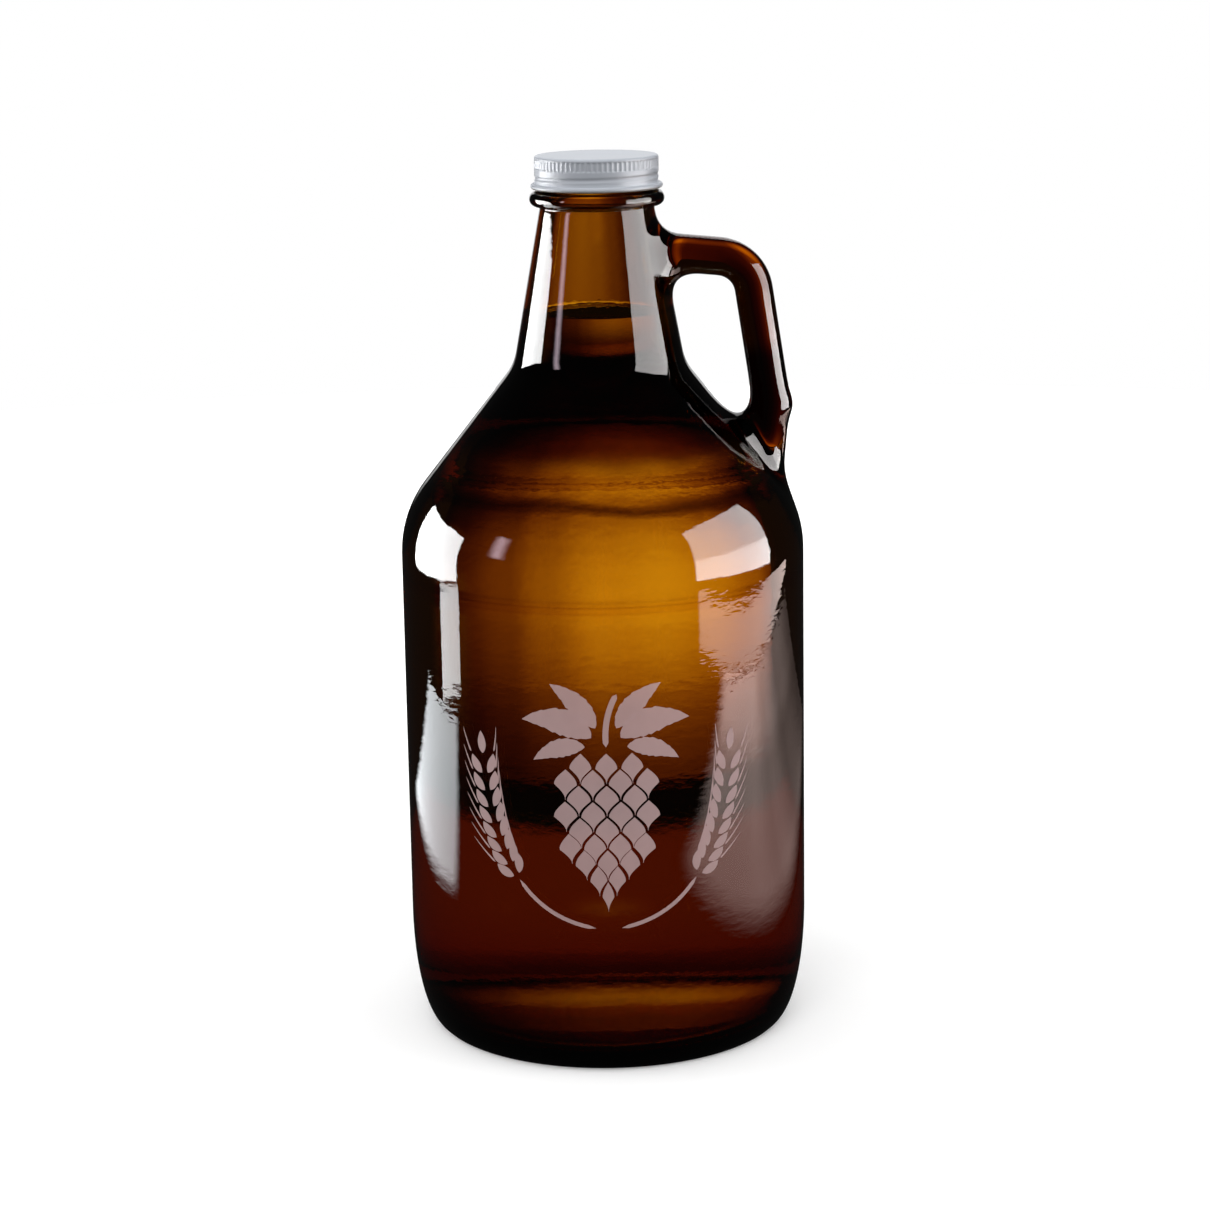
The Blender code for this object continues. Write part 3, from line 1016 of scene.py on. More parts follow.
    def inside_path(self, inset: float) -> list[Point]:
        """The hollow's outline, from the floor's centre to the rim.

        Args:
            inset: how far the outline is moved inwards, in metres.

        Returns:
            The outline's points.
        """
        offset = self.wall + inset
        side, slope, flare = moved_sideways(self.corners, offset)[:3]
        bore = self.bore_radius - inset
        corners = [side, slope, flare, (bore, self.ring_bottom), (bore, self.rim)]
        roundings = (self.shoulder_rounding - offset, self.flare_rounding + offset,
                     self.flare_rounding)
        floor = self.base_thickness + inset
        floor_radius = side[0] - self.inner_heel_inset
        heel = [(floor_radius + self.inner_heel_inset * math.sin(a),
                 self.heel_height - (self.heel_height - floor) * math.cos(a))
                for a in np.linspace(0, math.pi / 2, 25)]
        return self.dome(floor_radius, floor) + heel[:-1] + rounded(corners, roundings)

    def with_ledge(self, path: Sequence[Point]) -> list[Point]:
        """Thicken the wall in a narrow ring at the shoulder's foot, as the mould leaves it.

        Args:
            path: points of the hollow's outline.

        Returns:
            The points, moved in at the ring.
        """
        return [(radius - self.ledge * math.exp(-((height - self.ledge_height)
                                                  / self.ledge_reach) ** 2), height)
                for radius, height in path]

    def dome(self, radius: float, edge_height: float) -> list[Point]:
        """The pushed-up middle of the base, from the axis out to its edge."""
        return [(radius * share, edge_height + self.punt * (1 - share ** 2))
                for share in np.linspace(0, 1, 10)[:-1]]

    def base_path(self) -> list[Point]:
        """The outside of the base and heel, from the axis up to the side.

        Returns:
            The outline's points.
        """
        ring_outer = self.body_radius - self.heel_inset
        ring_inner = ring_outer - self.bearing_width
        heel = [(ring_outer + self.heel_inset * math.sin(a),
                 self.heel_height * (1 - math.cos(a))) for a in np.linspace(0, math.pi / 2, 49)]
        lip = arc((ring_inner + self.bearing_lip, self.bearing_lip), self.bearing_lip,
                  180, 270, 30)
        return self.dome(ring_inner, self.bearing_rise) + lip + spaced(heel, self.heel_rows)

    def finish_path(self) -> list[Point]:
        """The ring, the threaded wall and the rim, from the neck's top to the bore.

        Returns:
            The outline's points.
        """
        half = self.ring_height / 2
        root = self.root_rounding
        foot = self.neck_top_radius
        lower = arc((foot + root, self.ring_bottom - root), root, 180, 90, 18)
        ring = arc((self.ring_radius - half, self.ring_bottom + half), half, -90, 90, 9)
        upper = arc((self.finish_radius + root, self.ring_top + root), root, 270, 180, 18)
        rim = arc((self.finish_radius - self.rim_rounding, self.rim - self.rim_rounding),
                  self.rim_rounding, 0, 90, 12)
        mouth = arc((self.bore_radius + self.rim_rounding, self.rim - self.rim_rounding),
                    self.rim_rounding, 90, 180, 12)
        wall = spaced([upper[-1], rim[0]], self.finish_rows)[1:-1]
        return lower + ring + upper + wall + rim + mouth

    def bar(self) -> Handle:
        """The handle with its centre line, which starts and ends inside the glass.

        Returns:
            The handle.
        """
        slope = math.tan(math.radians(self.shoulder_angle))
        arm_height = self.ring_bottom - self.arm_drop
        share = (arm_height - self.neck_base_height) / self.neck_height
        root = (self.neck_base_radius
                + (self.neck_top_radius - self.neck_base_radius) * share - self.arm_root)
        knee_x, foot_x = self.body_radius - self.knee[0], self.body_radius - self.foot[0]
        knee_z = self.corner_height + (self.body_radius - knee_x) / slope + self.knee[1]
        foot_z = self.corner_height + (self.body_radius - foot_x) / slope - self.foot[1]
        corners = [(root, arm_height),
                   (self.body_radius - self.arm_end[0], arm_height - self.arm_end[1]),
                   (knee_x, knee_z), (foot_x, foot_z)]
        path = rounded(corners, self.bar_roundings)
        return Handle(line=np.array(spaced(path, self.bar_cells)))

    def surface_gap(self, handle: Handle, points: np.ndarray) -> np.ndarray:
        """How far points are outside the jug's skin, where wall and handle flow together.

        Args:
            handle: the handle that flows into the wall.
            points: array of shape (n, 3).

        Returns:
            The signed distance of each, negative inside.
        """
        radius = np.hypot(points[:, 0], points[:, 1])
        wall = -offset_from(self.side_line, np.column_stack((radius, points[:, 2])))[0]
        bar, reach = handle.distance(points)
        blend = np.maximum(reach - np.abs(wall - bar), 0.0) / reach
        return np.minimum(wall, bar) - blend ** 2 * reach / 4

    def settle(self, handle: Handle, points: np.ndarray, rounds: int) -> np.ndarray:
        """Move points straight onto the jug's skin.

        Args:
            handle: the handle that flows into the wall.
            points: array of shape (n, 3), close to the skin.
            rounds: how many steps to take.

        Returns:
            The moved points.
        """
        reach = 0.00002
        for _ in range(rounds):
            gap = self.surface_gap(handle, points)
            slope = np.column_stack([
                (self.surface_gap(handle, points + step)
                 - self.surface_gap(handle, points - step)) / (2 * reach)
                for step in np.eye(3) * reach])
            size = np.maximum((slope ** 2).sum(1), 0.05)
            move = slope * (gap / size)[:, None]
            longest = np.maximum(np.linalg.norm(move, axis=1) / 0.002, 1.0)
            points = points - move / longest[:, None]
        return points

    def window_loop(self, rows: list[np.ndarray], window: tuple[int, int, int],
                    from_top: bool) -> np.ndarray:
        """The points round a handle window, starting at the loop's outer side.

        Args:
            rows: point numbers of the wall, row by row.
            window: first row, last row and half the number of columns.
            from_top: whether the outer side of the handle is at the window's top.

        Returns:
            Point numbers in order, towards +Y first.
        """
        low, high, half = window
        start, end = (high, low) if from_top else (low, high)
        step = -1 if from_top else 1
        path = [(start, i) for i in range(half)]
        path += [(j, half) for j in range(start, end, step)]
        path += [(end, i) for i in range(half, -half, -1)]
        path += [(j, -half) for j in range(end, start, -step)]
        path += [(start, i) for i in range(-half, 0)]
        return np.array([rows[j][i % self.segments] for j, i in path])

    def add_thread(self, points: np.ndarray) -> np.ndarray:
        """Push the finish's wall out along the thread's helix.

        Args:
            points: points of the whole shell.

        Returns:
            The points with the thread raised.
        """
        radius = np.hypot(points[:, 0], points[:, 1])
        on_wall = ((np.abs(radius - self.finish_radius) < 0.00005)
                   & (points[:, 2] > self.ring_top) & (points[:, 2] < self.rim - 0.0005))
        turn = np.arctan2(points[:, 1], points[:, 0]) / (2 * math.pi) % 1.0
        rise = np.zeros(len(points))
        for lap in (1, 2):
            run = turn - lap
            fade = np.clip(np.minimum(-run, run + self.thread_turns) / 0.1, 0.0, 1.0)
            middle = self.rim - self.thread_drop + self.thread_pitch * run
            bead = 1 - stretch_between(np.abs(points[:, 2] - middle), *self.bead)
            rise = np.maximum(rise, self.thread_depth * fade * bead)
        grown = 1 + np.where(on_wall, rise, 0.0) / np.maximum(radius, 1e-6)
        return points * np.column_stack((grown, grown, np.ones(len(points))))

    def build(self, material: bpy.types.Material) -> bpy.types.Object:
        """Build the jug's mesh: wall, handle, hollow and base in one closed skin.

        Args:
            material: what it is made of.

        Returns:
            The piece.
        """
        neck_low, neck_high, neck_cells, neck_half = self.neck_window
        foot_low, foot_high, foot_cells, foot_half = self.foot_window
        parts = split_at_heights(self.side, (foot_low, foot_high, neck_low, neck_high))
        ring_root = self.ring_bottom - self.root_rounding
        parts[-1] = split_at_heights(parts[-1], (ring_root,))[0]
        below, between, above = self.side_rows
        cells = (below, foot_cells, between, neck_cells, above)
        side = joined([spaced(part, count) for part, count in zip(parts, cells)])
        self.side_line = np.array(joined([[(self.body_radius, 0.0)], self.side]))
        base, finish = self.base_path(), self.finish_path()
        hollow = self.inside_path(0.0)
        off_axis = [point for point in hollow if point[0] > self.hollow_start]
        inner = self.with_ledge(spaced(off_axis, self.hollow_rows))[::-1]
        inner[0] = (self.bore_radius, self.rim - self.rim_rounding - self.mouth_gap)
        outline = base[1:-1] + side + finish[1:] + inner
        shell = Shell()
        rows = shell.lathe(outline, self.segments)
        shell.fan(rows[0], np.array((0.0, 0.0, base[0][1])), flip=True)
        shell.fan(rows[-1], np.array((0.0, 0.0, hollow[0][1])), flip=False)
        first = len(base) - 2
        foot = (first + cells[0], first + sum(cells[:2]), foot_half)
        neck = (first + sum(cells[:3]), first + sum(cells[:4]), neck_half)
        self.cut_windows(shell, rows, (foot, neck))
        free = self.add_handle(shell, rows, foot, neck)
        points = np.concatenate(shell.points)
        points = self.relax(shell, points, free)
        points = self.add_thread(points)
        shell.points = [points]
        return shell.make("jug_glass", material, 60.0)

    def cut_windows(self, shell: Shell, rows: list[np.ndarray],
                    windows: Sequence[tuple[int, int, int]]) -> None:
        """Take out the wall's faces where the handle runs in.

        Args:
            shell: the shell with all of its wall.
            rows: point numbers of the wall, row by row.
            windows: first row, last row and half the number of columns of each.
        """
        gone = set()
        for low, high, half in windows:
            for j in range(low, high):
                gone |= {int(rows[j][i % self.segments]) for i in range(-half, half)}
        rows_of = set(int(n) for low, high, _ in windows for j in range(low, high)
                      for n in rows[j])
        shell.faces = [face for face in shell.faces
                       if not (len(face) == 4 and face[0] in gone and face[0] in rows_of)]

    def add_handle(self, shell: Shell, rows: list[np.ndarray], foot: tuple[int, int, int],
                   neck: tuple[int, int, int]) -> np.ndarray:
        """Add the handle's rings between its two windows.

        Args:
            shell: the shell, with its windows cut.
            rows: point numbers of the wall, row by row.
            foot: the foot's window.
            neck: the neck's window.

        Returns:
            A weight for each point: how freely it may slide over the skin.
        """
        self.handle = self.bar()
        points = np.concatenate(shell.points)
        neck_loop = self.window_loop(rows, neck, from_top=True)
        foot_loop = self.window_loop(rows, foot, from_top=False)
        count = len(neck_loop)
        ends = (self.handle.free_from, self.handle.lengths[-1] - self.handle.free_to)
        places = np.linspace(*ends, self.handle.stations)
        rings = [self.handle.ring(place, count) for place in places]
        shares = [(i + 1) / (self.handle.lead + 1) for i in range(self.handle.lead)]
        to_neck = [points[neck_loop] * (1 - s) + rings[0] * s for s in shares]
        to_foot = [rings[-1] * (1 - s) + points[foot_loop] * s for s in shares]
        loops = [neck_loop]
        loops += [shell.add_points(ring) for ring in to_neck + rings + to_foot]
        loops.append(foot_loop)
        for lower, upper in zip(loops, loops[1:]):
            shell.bridge(upper, lower)
        free = np.zeros(shell.count)
        lead = self.handle.lead + 4
        for loop in loops[:lead] + loops[-lead:]:
            free[loop] = 1.0
        for low, high, half in (foot, neck):
            reach = half + self.handle.margin
            for j in range(low - self.handle.margin, high + self.handle.margin + 1):
                columns = [i % self.segments for i in range(-reach, reach + 1)]
                free[rows[j][columns]] = 1.0
        free[np.concatenate(loops[lead:-lead])] = 0.5
        return free

    def relax(self, shell: Shell, points: np.ndarray, free: np.ndarray) -> np.ndarray:
        """Even out the cells round the handle's roots and settle them on the skin.

        Args:
            shell: the shell with all its faces.
            points: all its points.
            free: how freely each point may slide.

        Returns:
            The moved points.
        """
        chosen = np.flatnonzero(free > 0)
        quads = np.array([face for face in shell.faces if len(face) == 4])
        edges = np.concatenate([quads[:, [k, (k + 1) % 4]] for k in range(4)])
        edges = np.unique(np.sort(edges, axis=1), axis=0)
        edges = edges[np.isin(edges[:, 0], chosen) | np.isin(edges[:, 1], chosen)]
        degree = np.bincount(edges.ravel(), minlength=len(points)).astype(float)
        points = points.copy()
        points[chosen] = self.settle(self.handle, points[chosen], 6)
        loose = np.flatnonzero(free > 0.9)
        for _ in range(self.slide_rounds):
            total = np.zeros_like(points)
            np.add.at(total, edges[:, 0], points[edges[:, 1]])
            np.add.at(total, edges[:, 1], points[edges[:, 0]])
            middle = total[loose] / degree[loose][:, None]
            slid = points[loose] * 0.5 + middle * 0.5
            points[loose] = self.settle(self.handle, slid, 1)
        points[chosen] = self.settle(self.handle, points[chosen], 3)
        return points


# ---- Contents ----

@dataclass
class Contents:
    """The beer, which wets the glass and climbs it a little at the edge.

    Attributes:
        jug: the jug that holds it.
        wetting: how far its skin runs into the wall, so that no air film is left.
        climb: height of the curved edge of its surface.
        climb_reach: how many times that height the curve runs in.
        segments: columns round it.
        side_rows: rows from its bottom's edge up to its surface.
    """

    jug: GlassJug
    wetting: float = 0.00015
    climb: float = 0.0011
    climb_reach: float = 1.6
    segments: int = 192
    side_rows: int = 200

    def build(self, material: bpy.types.Material) -> bpy.types.Object:
        """Build the beer up to the level of the frame's own contents.

        Args:
            material: what it is made of.

        Returns:
            The piece.
        """
        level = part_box("beer")[1].z
        hollow = self.jug.inside_path(-self.wetting)
        wet = split_at_heights(hollow[9:], (level + self.climb,))[0]
        edge = wet[-1][0]
        curve = [(edge - self.climb * self.climb_reach * (1 - math.cos(a)) - self.wetting,
                  level + self.climb * (1 - math.sin(a)))
                 for a in np.linspace(0.15, math.pi / 2, 9)]
        top = [(edge * share, level) for share in (0.75, 0.5, 0.25, 0.08)]
        side = self.jug.with_ledge(spaced(wet, self.side_rows))
        outline = hollow[:9] + side + curve + top + [(0.0, level)]
        shell = Shell()
        shell.closed_lathe(outline, self.segments)
        return shell.make("beer_fill", material, 60.0)


# ---- Etched motif ----

class BladeShape(Enum):
    """The outlines that the motif's strokes may have."""

    STEM = "stem"
    GRAIN = "grain"
    BRACT = "bract"
    LEAF = "leaf"
    AWN = "awn"

    def width(self, share: float) -> float:
        """Half the width at a share of the length, for a blade of width 1.

        Args:
            share: from 0 at the start to 1 at the end.

        Returns:
            The half width, never quite nothing.
        """
        swell = {
            BladeShape.STEM: (1 - abs(2 * share - 1) ** 14) ** 0.5,
            BladeShape.GRAIN: math.sin(math.pi * share ** 0.85) ** 0.8,
            BladeShape.BRACT: (math.sin(math.pi * share) if share < 0.5
                               else 1 - math.sin(math.pi * (share - 0.5))),
            BladeShape.LEAF: math.sin(math.pi * share ** 0.8) ** 0.85,
            BladeShape.AWN: (1 - share) ** 0.6 * min(1.0, share * 12) ** 0.5,
        }[self]
        teeth = 0.86 + 0.14 * (1 - (share * 7) % 1.0) if self is BladeShape.LEAF else 1.0
        return max(swell * teeth, 0.02)


@dataclass(frozen=True)
class Blade:
    """One stroke of the motif, on the unrolled wall, in millimetres.

    Attributes:
        shape: which outline it has.
        start: where it starts.
        bend: the point that it bends towards.
        end: where it ends.
        half_width: half its greatest width.
    """

    shape: BladeShape
    start: Point
    bend: Point
    end: Point
    half_width: float

    def edges(self, steps: int, columns: int) -> np.ndarray:
        """A grid of places over the blade, of shape (steps + 1, columns + 1, 2).

        Args:
            steps: cells along it.
            columns: cells across it.

        Returns:
            The grid.
        """
        start, bend, end = (np.array(point) for point in (self.start, self.bend, self.end))
        grid = []
        for share in np.linspace(0, 1, steps + 1):
            place = start * (1 - share) ** 2 + bend * 2 * share * (1 - share) + end * share ** 2
            along = (bend - start) * (1 - share) + (end - bend) * share
            along /= np.linalg.norm(along)
            aside = np.array((-along[1], along[0])) * self.half_width * self.shape.width(share)
            grid.append([place + aside * across for across in np.linspace(-1, 1, columns + 1)])
        return np.array(grid)


@dataclass
class EtchedMotif:
    """A hop cone between two ears of barley, blasted into the front of the jug.

    Attributes:
        radius: the wall's outer radius.
        height: height of the motif's middle.
        lift: gap between the glass and the frosted skin.
        skin: thickness of that skin.
        rows: how many bracts each row of the cone has, from the top down.
        pitch: distance between two rows, in millimetres.
        top: where the first row starts, in millimetres over the motif's middle.
        widest: distance between two bracts where the cone is widest, in millimetres.
        widest_at: share of the cone's height where that is.
        taper: share of the height over which it narrows to nothing from there.
        overlap: length of a bract in rows.
        bract: half a bract's width as a share of the distance between two.
        curl: how strongly the bracts lean back to the middle.
        grains: pairs of grains in an ear.
        grain_length: length of a grain in millimetres.
        grain_width: half its width.
        grain_angle: how far it leans out from the spine, in degrees.
        grain_step: share of the spine from one pair of grains to the next.
        awn_length: length of the lowest awns, and how much shorter each further pair is.
        awn_width: half an awn's width.
    """

    radius: float
    height: float = 0.0880
    lift: float = 0.00002
    skin: float = 0.00004
    rows: tuple[int, ...] = (3, 4, 3, 4, 3, 4, 3, 2, 1)
    pitch: float = 5.1
    top: float = 16.5
    widest: float = 8.6
    widest_at: float = 0.32
    taper: float = 0.78
    overlap: float = 1.86
    bract: float = 0.425
    curl: float = 0.22
    grains: int = 8
    grain_length: float = 6.6
    grain_width: float = 1.45
    grain_angle: float = 27.0
    grain_step: float = 0.062
    awn_length: Point = (11, 0.4)
    awn_width: float = 0.30

    def cone(self) -> list[Blade]:
        """The hop cone: staggered rows of pointed bracts.

        Returns:
            Its bracts.
        """
        blades = []
        top, reach = self.top, self.pitch * self.overlap
        for k, count in enumerate(self.rows):
            share = k / (len(self.rows) - 1)
            spread = self.widest * math.sqrt(1 - ((share - self.widest_at) / self.taper) ** 2)
            for i in range(count):
                u = (i - (count - 1) / 2) * spread
                lean = -self.curl * u * max(share - 0.25, -0.1)
                blades.append(Blade(BladeShape.BRACT, (u, top), (u + lean * 0.4, top - reach / 2),
                                    (u + lean, top - reach), spread * self.bract))
            top -= self.pitch
        return blades

    def leaves(self, side: int) -> list[Blade]:
        """Three toothed lobes of leaf on one side of the stem.

        Args:
            side: 1 for the right side, -1 for the left.

        Returns:
            The lobes.
        """
        lobes = (((4.5, 21.5), (13, 29), (26, 26.5), 4.3), ((3.2, 24.5), (8, 33), (17, 38), 3.3),
                 ((6.5, 18.6), (15, 19.5), (22.5, 14.0), 3.0))
        return [Blade(BladeShape.LEAF, (side * start[0], start[1]), (side * bend[0], bend[1]),
                      (side * end[0], end[1]), width) for start, bend, end, width in lobes]

    def ear(self, side: int) -> list[Blade]:
        """An ear of barley that curves up and out: straw, two rows of grains and awns.

        Args:
            side: 1 for the right side, -1 for the left.

        Returns:
            Its strokes.
        """
        start, bend, end = np.array((4.0, -39.0)), np.array((36.0, -34.0)), np.array((40.5, 14.0))
        mirror = np.array((side, 1))

        def on_spine(share: float) -> tuple[np.ndarray, np.ndarray]:
            """The place and the direction at a share of the spine.

            Args:
                share: from 0 at the foot to 1 at the tip.

            Returns:
                The place and a unit vector.
            """
            place = start * (1 - share) ** 2 + bend * 2 * share * (1 - share) + end * share ** 2
            along = (bend - start) * (1 - share) + (end - bend) * share
            return place, along / np.linalg.norm(along)

        first = on_spine(0.0)[0]
        middle, last = on_spine(0.24)[0], on_spine(0.47)[0]
        control = 2 * middle - (first + last) / 2
        blades = [Blade(BladeShape.STEM, tuple(first * mirror), tuple(control * mirror),
                        tuple(last * mirror), 0.62)]
        for k in range(self.grains):
            place, along = on_spine(0.50 + self.grain_step * k)
            for lean in (-1, 1):
                turn = math.radians(self.grain_angle) * lean
                aim = np.array((along[0] * math.cos(turn) - along[1] * math.sin(turn),
                                along[0] * math.sin(turn) + along[1] * math.cos(turn)))
                aside = np.array((-along[1], along[0])) * lean * 1.1
                root, tip = place + aside, place + aside + aim * self.grain_length
                belly = (root + tip) / 2 + aside * 0.9
                blades.append(Blade(BladeShape.GRAIN, tuple(root * mirror), tuple(belly * mirror),
                                    tuple(tip * mirror), self.grain_width))
                spring = tip + aim * 0.9
                length = self.awn_length[0] - self.awn_length[1] * k
                point = spring + (aim * 0.55 + along * 0.45) * length
                blades.append(Blade(BladeShape.AWN, tuple(spring * mirror),
                                    tuple(((spring + point) / 2 + aside * 0.3) * mirror),
                                    tuple(point * mirror), self.awn_width))
        place, along = on_spine(1.0)
        blades.append(Blade(BladeShape.GRAIN, tuple(place * mirror),
                            tuple((place + along * 3.5) * mirror),
                            tuple((place + along * 7) * mirror), 1.5))
        return blades

    def on_wall(self, places: np.ndarray, radius: float) -> np.ndarray:
        """Wrap places on the unrolled wall round the jug's front.

        Args:
            places: array whose last axis holds the place in millimetres.
            radius: radius that they are wrapped at.

        Returns:
            An array whose last axis holds x, y and z.
        """
        around = places[..., 0] * MM / self.radius
        return np.stack((radius * np.sin(around), -radius * np.cos(around),
                         self.height + places[..., 1] * MM), axis=-1)

    def build(self, material: bpy.types.Material) -> bpy.types.Object:
        """Build every blade as a thin closed skin over the glass.

        Args:
            material: what it is made of.

        Returns:
            The piece.
        """
        stem = Blade(BladeShape.STEM, (0.0, 18.5), (-0.8, 28.0), (3.4, 35.0), 0.9)
        blades = self.cone() + [stem]
        for side in (-1, 1):
            blades += self.leaves(side) + self.ear(side)
        shell = Shell()
        for blade in blades:
            slim = blade.shape in (BladeShape.AWN, BladeShape.STEM)
            grid = blade.edges(28 if blade.shape is BladeShape.LEAF else 14, 1 if slim else 4)
            top = self.on_wall(grid, self.radius + self.lift + self.skin)
            under = self.on_wall(grid, self.radius + self.lift)
            count, across = grid.shape[:2]
            upper = shell.add_points(top).reshape(count, across)
            lower = shell.add_points(under).reshape(count, across)
            for j in range(count - 1):
                for i in range(across - 1):
                    shell.faces.append((upper[j, i], upper[j, i + 1], upper[j + 1, i + 1],
                                        upper[j + 1, i]))
                    shell.faces.append((lower[j, i], lower[j + 1, i], lower[j + 1, i + 1],
                                        lower[j, i + 1]))
            rim = [(0, i) for i in range(across - 1)]
            rim += [(j, across - 1) for j in range(count - 1)]
            rim += [(count - 1, i) for i in range(across - 1, 0, -1)]
            rim += [(j, 0) for j in range(count - 1, 0, -1)]
            shell.bridge(np.array([lower[place] for place in rim]),
                         np.array([upper[place] for place in rim]))
        return shell.make("etched_motif", material, 40.0)


# ---- Cap ----

@dataclass
class ScrewCap:
    """The rolled metal shell: pressed flutes, a rolled thread groove and a curled hem.

    Attributes:
        skirt_radius: outer radius of the skirt.
        sheet: thickness of the sheet.
        edge_rounding: rounding of the top's edge.
        flutes: how many flutes go round.
        flute_depth: how deep they are pressed.
        flute_top: how far under the top they start.
        flute_length: how long they are.
        hem_radius: half the height of the curled hem.
        hem_reach: how far the hem stands out.
        thread_pitch: rise of the thread in one turn.
        groove_depth: how deep the thread groove is rolled.
        groove_height: height of the groove's middle over the hem's lower edge.
        groove_lean: share of the thread's rise that shows in the groove.
        columns_per_flute: columns of points for each flute.
        hem_warmth: how far up from the hem's edge the enamel runs thin.
    """

    skirt_radius: float = 0.01935
    sheet: float = 0.00035
    edge_rounding: float = 0.0009
    flutes: int = 76
    flute_depth: float = 0.00022
    flute_top: float = 0.0012
    flute_length: float = 0.0027
    hem_radius: float = 0.00085
    hem_reach: float = 0.00125
    thread_pitch: float = 0.004233
    groove_depth: float = 0.00025
    groove_height: float = 0.0034
    groove_lean: float = 0.45
    columns_per_flute: int = 8
    hem_warmth: float = 0.0009

    def __post_init__(self) -> None:
        """Take the cap's heights from the frame."""
        low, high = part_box("cap_shell")
        self.bottom, self.top = low.z, high.z

    def outline(self) -> list[Point]:
        """The shell's section from its top's middle, over the hem, to its inner middle.

        Returns:
            The section's points.
        """
        edge, inner = self.edge_rounding, self.edge_rounding - self.sheet
        panel = self.skirt_radius - edge
        top = [(0.0, self.top), (0.002, self.top)]
        top += [(radius * MM, self.top) for radius in (5, 9, 12, 14.5, 16.2)]
        top += [(panel - 0.0008, self.top)]
        top += arc((panel, self.top - edge), edge, 90, 0, 9)
        hem = (self.skirt_radius + self.hem_reach - self.hem_radius,
               self.bottom + self.hem_radius)
        flare_top = self.bottom + 2 * self.hem_radius + 0.0007
        skirt = spaced([(self.skirt_radius, self.top - edge), (self.skirt_radius, flare_top)], 44)
        curl = arc(hem, self.hem_radius, 105, -90, 13)
        inner_radius = self.skirt_radius - self.sheet
        inside_top = self.top - self.sheet
        foot = [(inner_radius + 0.0004, self.bottom), (inner_radius, self.bottom + 0.0005)]
        inside = spaced([foot[-1], (inner_radius, inside_top - inner)], 30)
        corner = arc((inner_radius - inner, inside_top - inner), inner, 0, 90, 15)
        under = [(radius * MM, inside_top) for radius in (15, 10, 5, 2)]
        return (top + skirt[1:] + curl + [foot[0]] + inside + corner[1:] + under
                + [(0.0, inside_top)])

    def press(self, points: np.ndarray) -> np.ndarray:
        """Press the flutes and roll the thread groove into the sheet.

        Args:
            points: the turned shell's points.

        Returns:
            The pressed points.
        """
        radius = np.hypot(points[:, 0], points[:, 1])
        turn = np.arctan2(points[:, 1], points[:, 0]) / (2 * math.pi)
        drop = self.top - points[:, 2]
        on_skirt = radius > self.skirt_radius - self.sheet * 1.5
        outer = radius > self.skirt_radius - self.sheet * 0.5
        band = (stretch_between(drop, self.flute_top - 0.0004, self.flute_top + 0.0002)
                * (1 - stretch_between(drop, self.flute_top + self.flute_length - 0.0003,
                                       self.flute_top + self.flute_length + 0.0003)))
        wave = 0.5 - 0.5 * np.cos(turn * self.flutes * 2 * math.pi)
        flute = self.flute_depth * band * np.sqrt(wave) * outer
        rolled = np.zeros(len(points))
        for lap in range(-1, 3):
            run = turn % 1.0 - lap
            rise = self.thread_pitch * (run - 0.5) * self.groove_lean
            middle = self.bottom + self.groove_height + rise
            fade = np.clip(np.minimum(run + 0.15, 1.15 - run) / 0.15, 0.0, 1.0)
            near = 1 - stretch_between(np.abs(points[:, 2] - middle), 0.0001, 0.0009)
            rolled = np.maximum(rolled, near * fade)
        low = stretch_between(points[:, 2] - self.bottom, 0.0017, 0.0024)
        groove = self.groove_depth * rolled * low
        move = np.where(on_skirt & (drop > self.edge_rounding), flute + groove, 0.0)
        grown = 1 - move / np.maximum(radius, 1e-6)
        return points * np.column_stack((grown, grown, np.ones(len(points))))

    def build(self, material: bpy.types.Material) -> bpy.types.Object:
        """Build the pressed shell.

        Args:
            material: what it is made of.

        Returns:
            The piece.
        """
        shell = Shell()
        shell.closed_lathe(self.outline()[::-1], self.flutes * self.columns_per_flute)
        shell.points = [self.press(np.concatenate(shell.points))]
        return shell.make("cap_enamelled_shell", material, 60.0)


@dataclass
class LinerDisc:
    """One of the liner's discs, with a softly worn edge.

    Attributes:
        node: the frame's node that it stands for.
        name: the piece's name.
        sag: how far its middle stands proud towards the jug's mouth.
        worn: rounding of its edge as a share of its thickness.
        segments: columns round it.
    """

    node: str
    name: str
    sag: float
    worn: float = 0.35
    segments: int = 128

    def build(self, material: bpy.types.Material) -> bpy.types.Object:
        """Build the disc inside its node's box.

        Args:
            material: what it is made of.

        Returns:
            The piece.
        """
        low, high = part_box(self.node)
        radius, thickness = high.x, high.z - low.z
        ease = thickness * self.worn
        lower = [(radius * share, low.z + self.sag * share ** 4)
                 for share in (0.0, 0.1, 0.3, 0.5, 0.7, 0.85, 0.95)]
        side = arc((radius - ease, low.z + self.sag + ease), ease, -90, 0, 15)
        side += arc((radius - ease, high.z - ease), ease, 0, 90, 15)
        upper = [(radius * share, high.z) for share in (0.95, 0.7, 0.4, 0.1, 0.0)]
        shell = Shell()
        shell.closed_lathe(lower + side + upper, self.segments)
        return shell.make(self.name, material, 60.0)


# ---- Studio ----

class Seen(Enum):
    """What a lamp or card does in the picture."""

    MIRRORED = "seen in reflections"
    THROUGH = "seen through glass"
    LIGHTS = "lights matt surfaces and stays out of the glass"


def set_seen(obj: bpy.types.Object, seen: Seen) -> None:
    """Show an object only to the rays that its job needs.

    Args:
        obj: the card or lamp.
        seen: its job.
    """
    obj.visible_camera = False
    obj.visible_shadow = False
    obj.visible_diffuse = seen is Seen.LIGHTS
    obj.visible_glossy = seen is Seen.MIRRORED
    obj.visible_transmission = seen is Seen.THROUGH


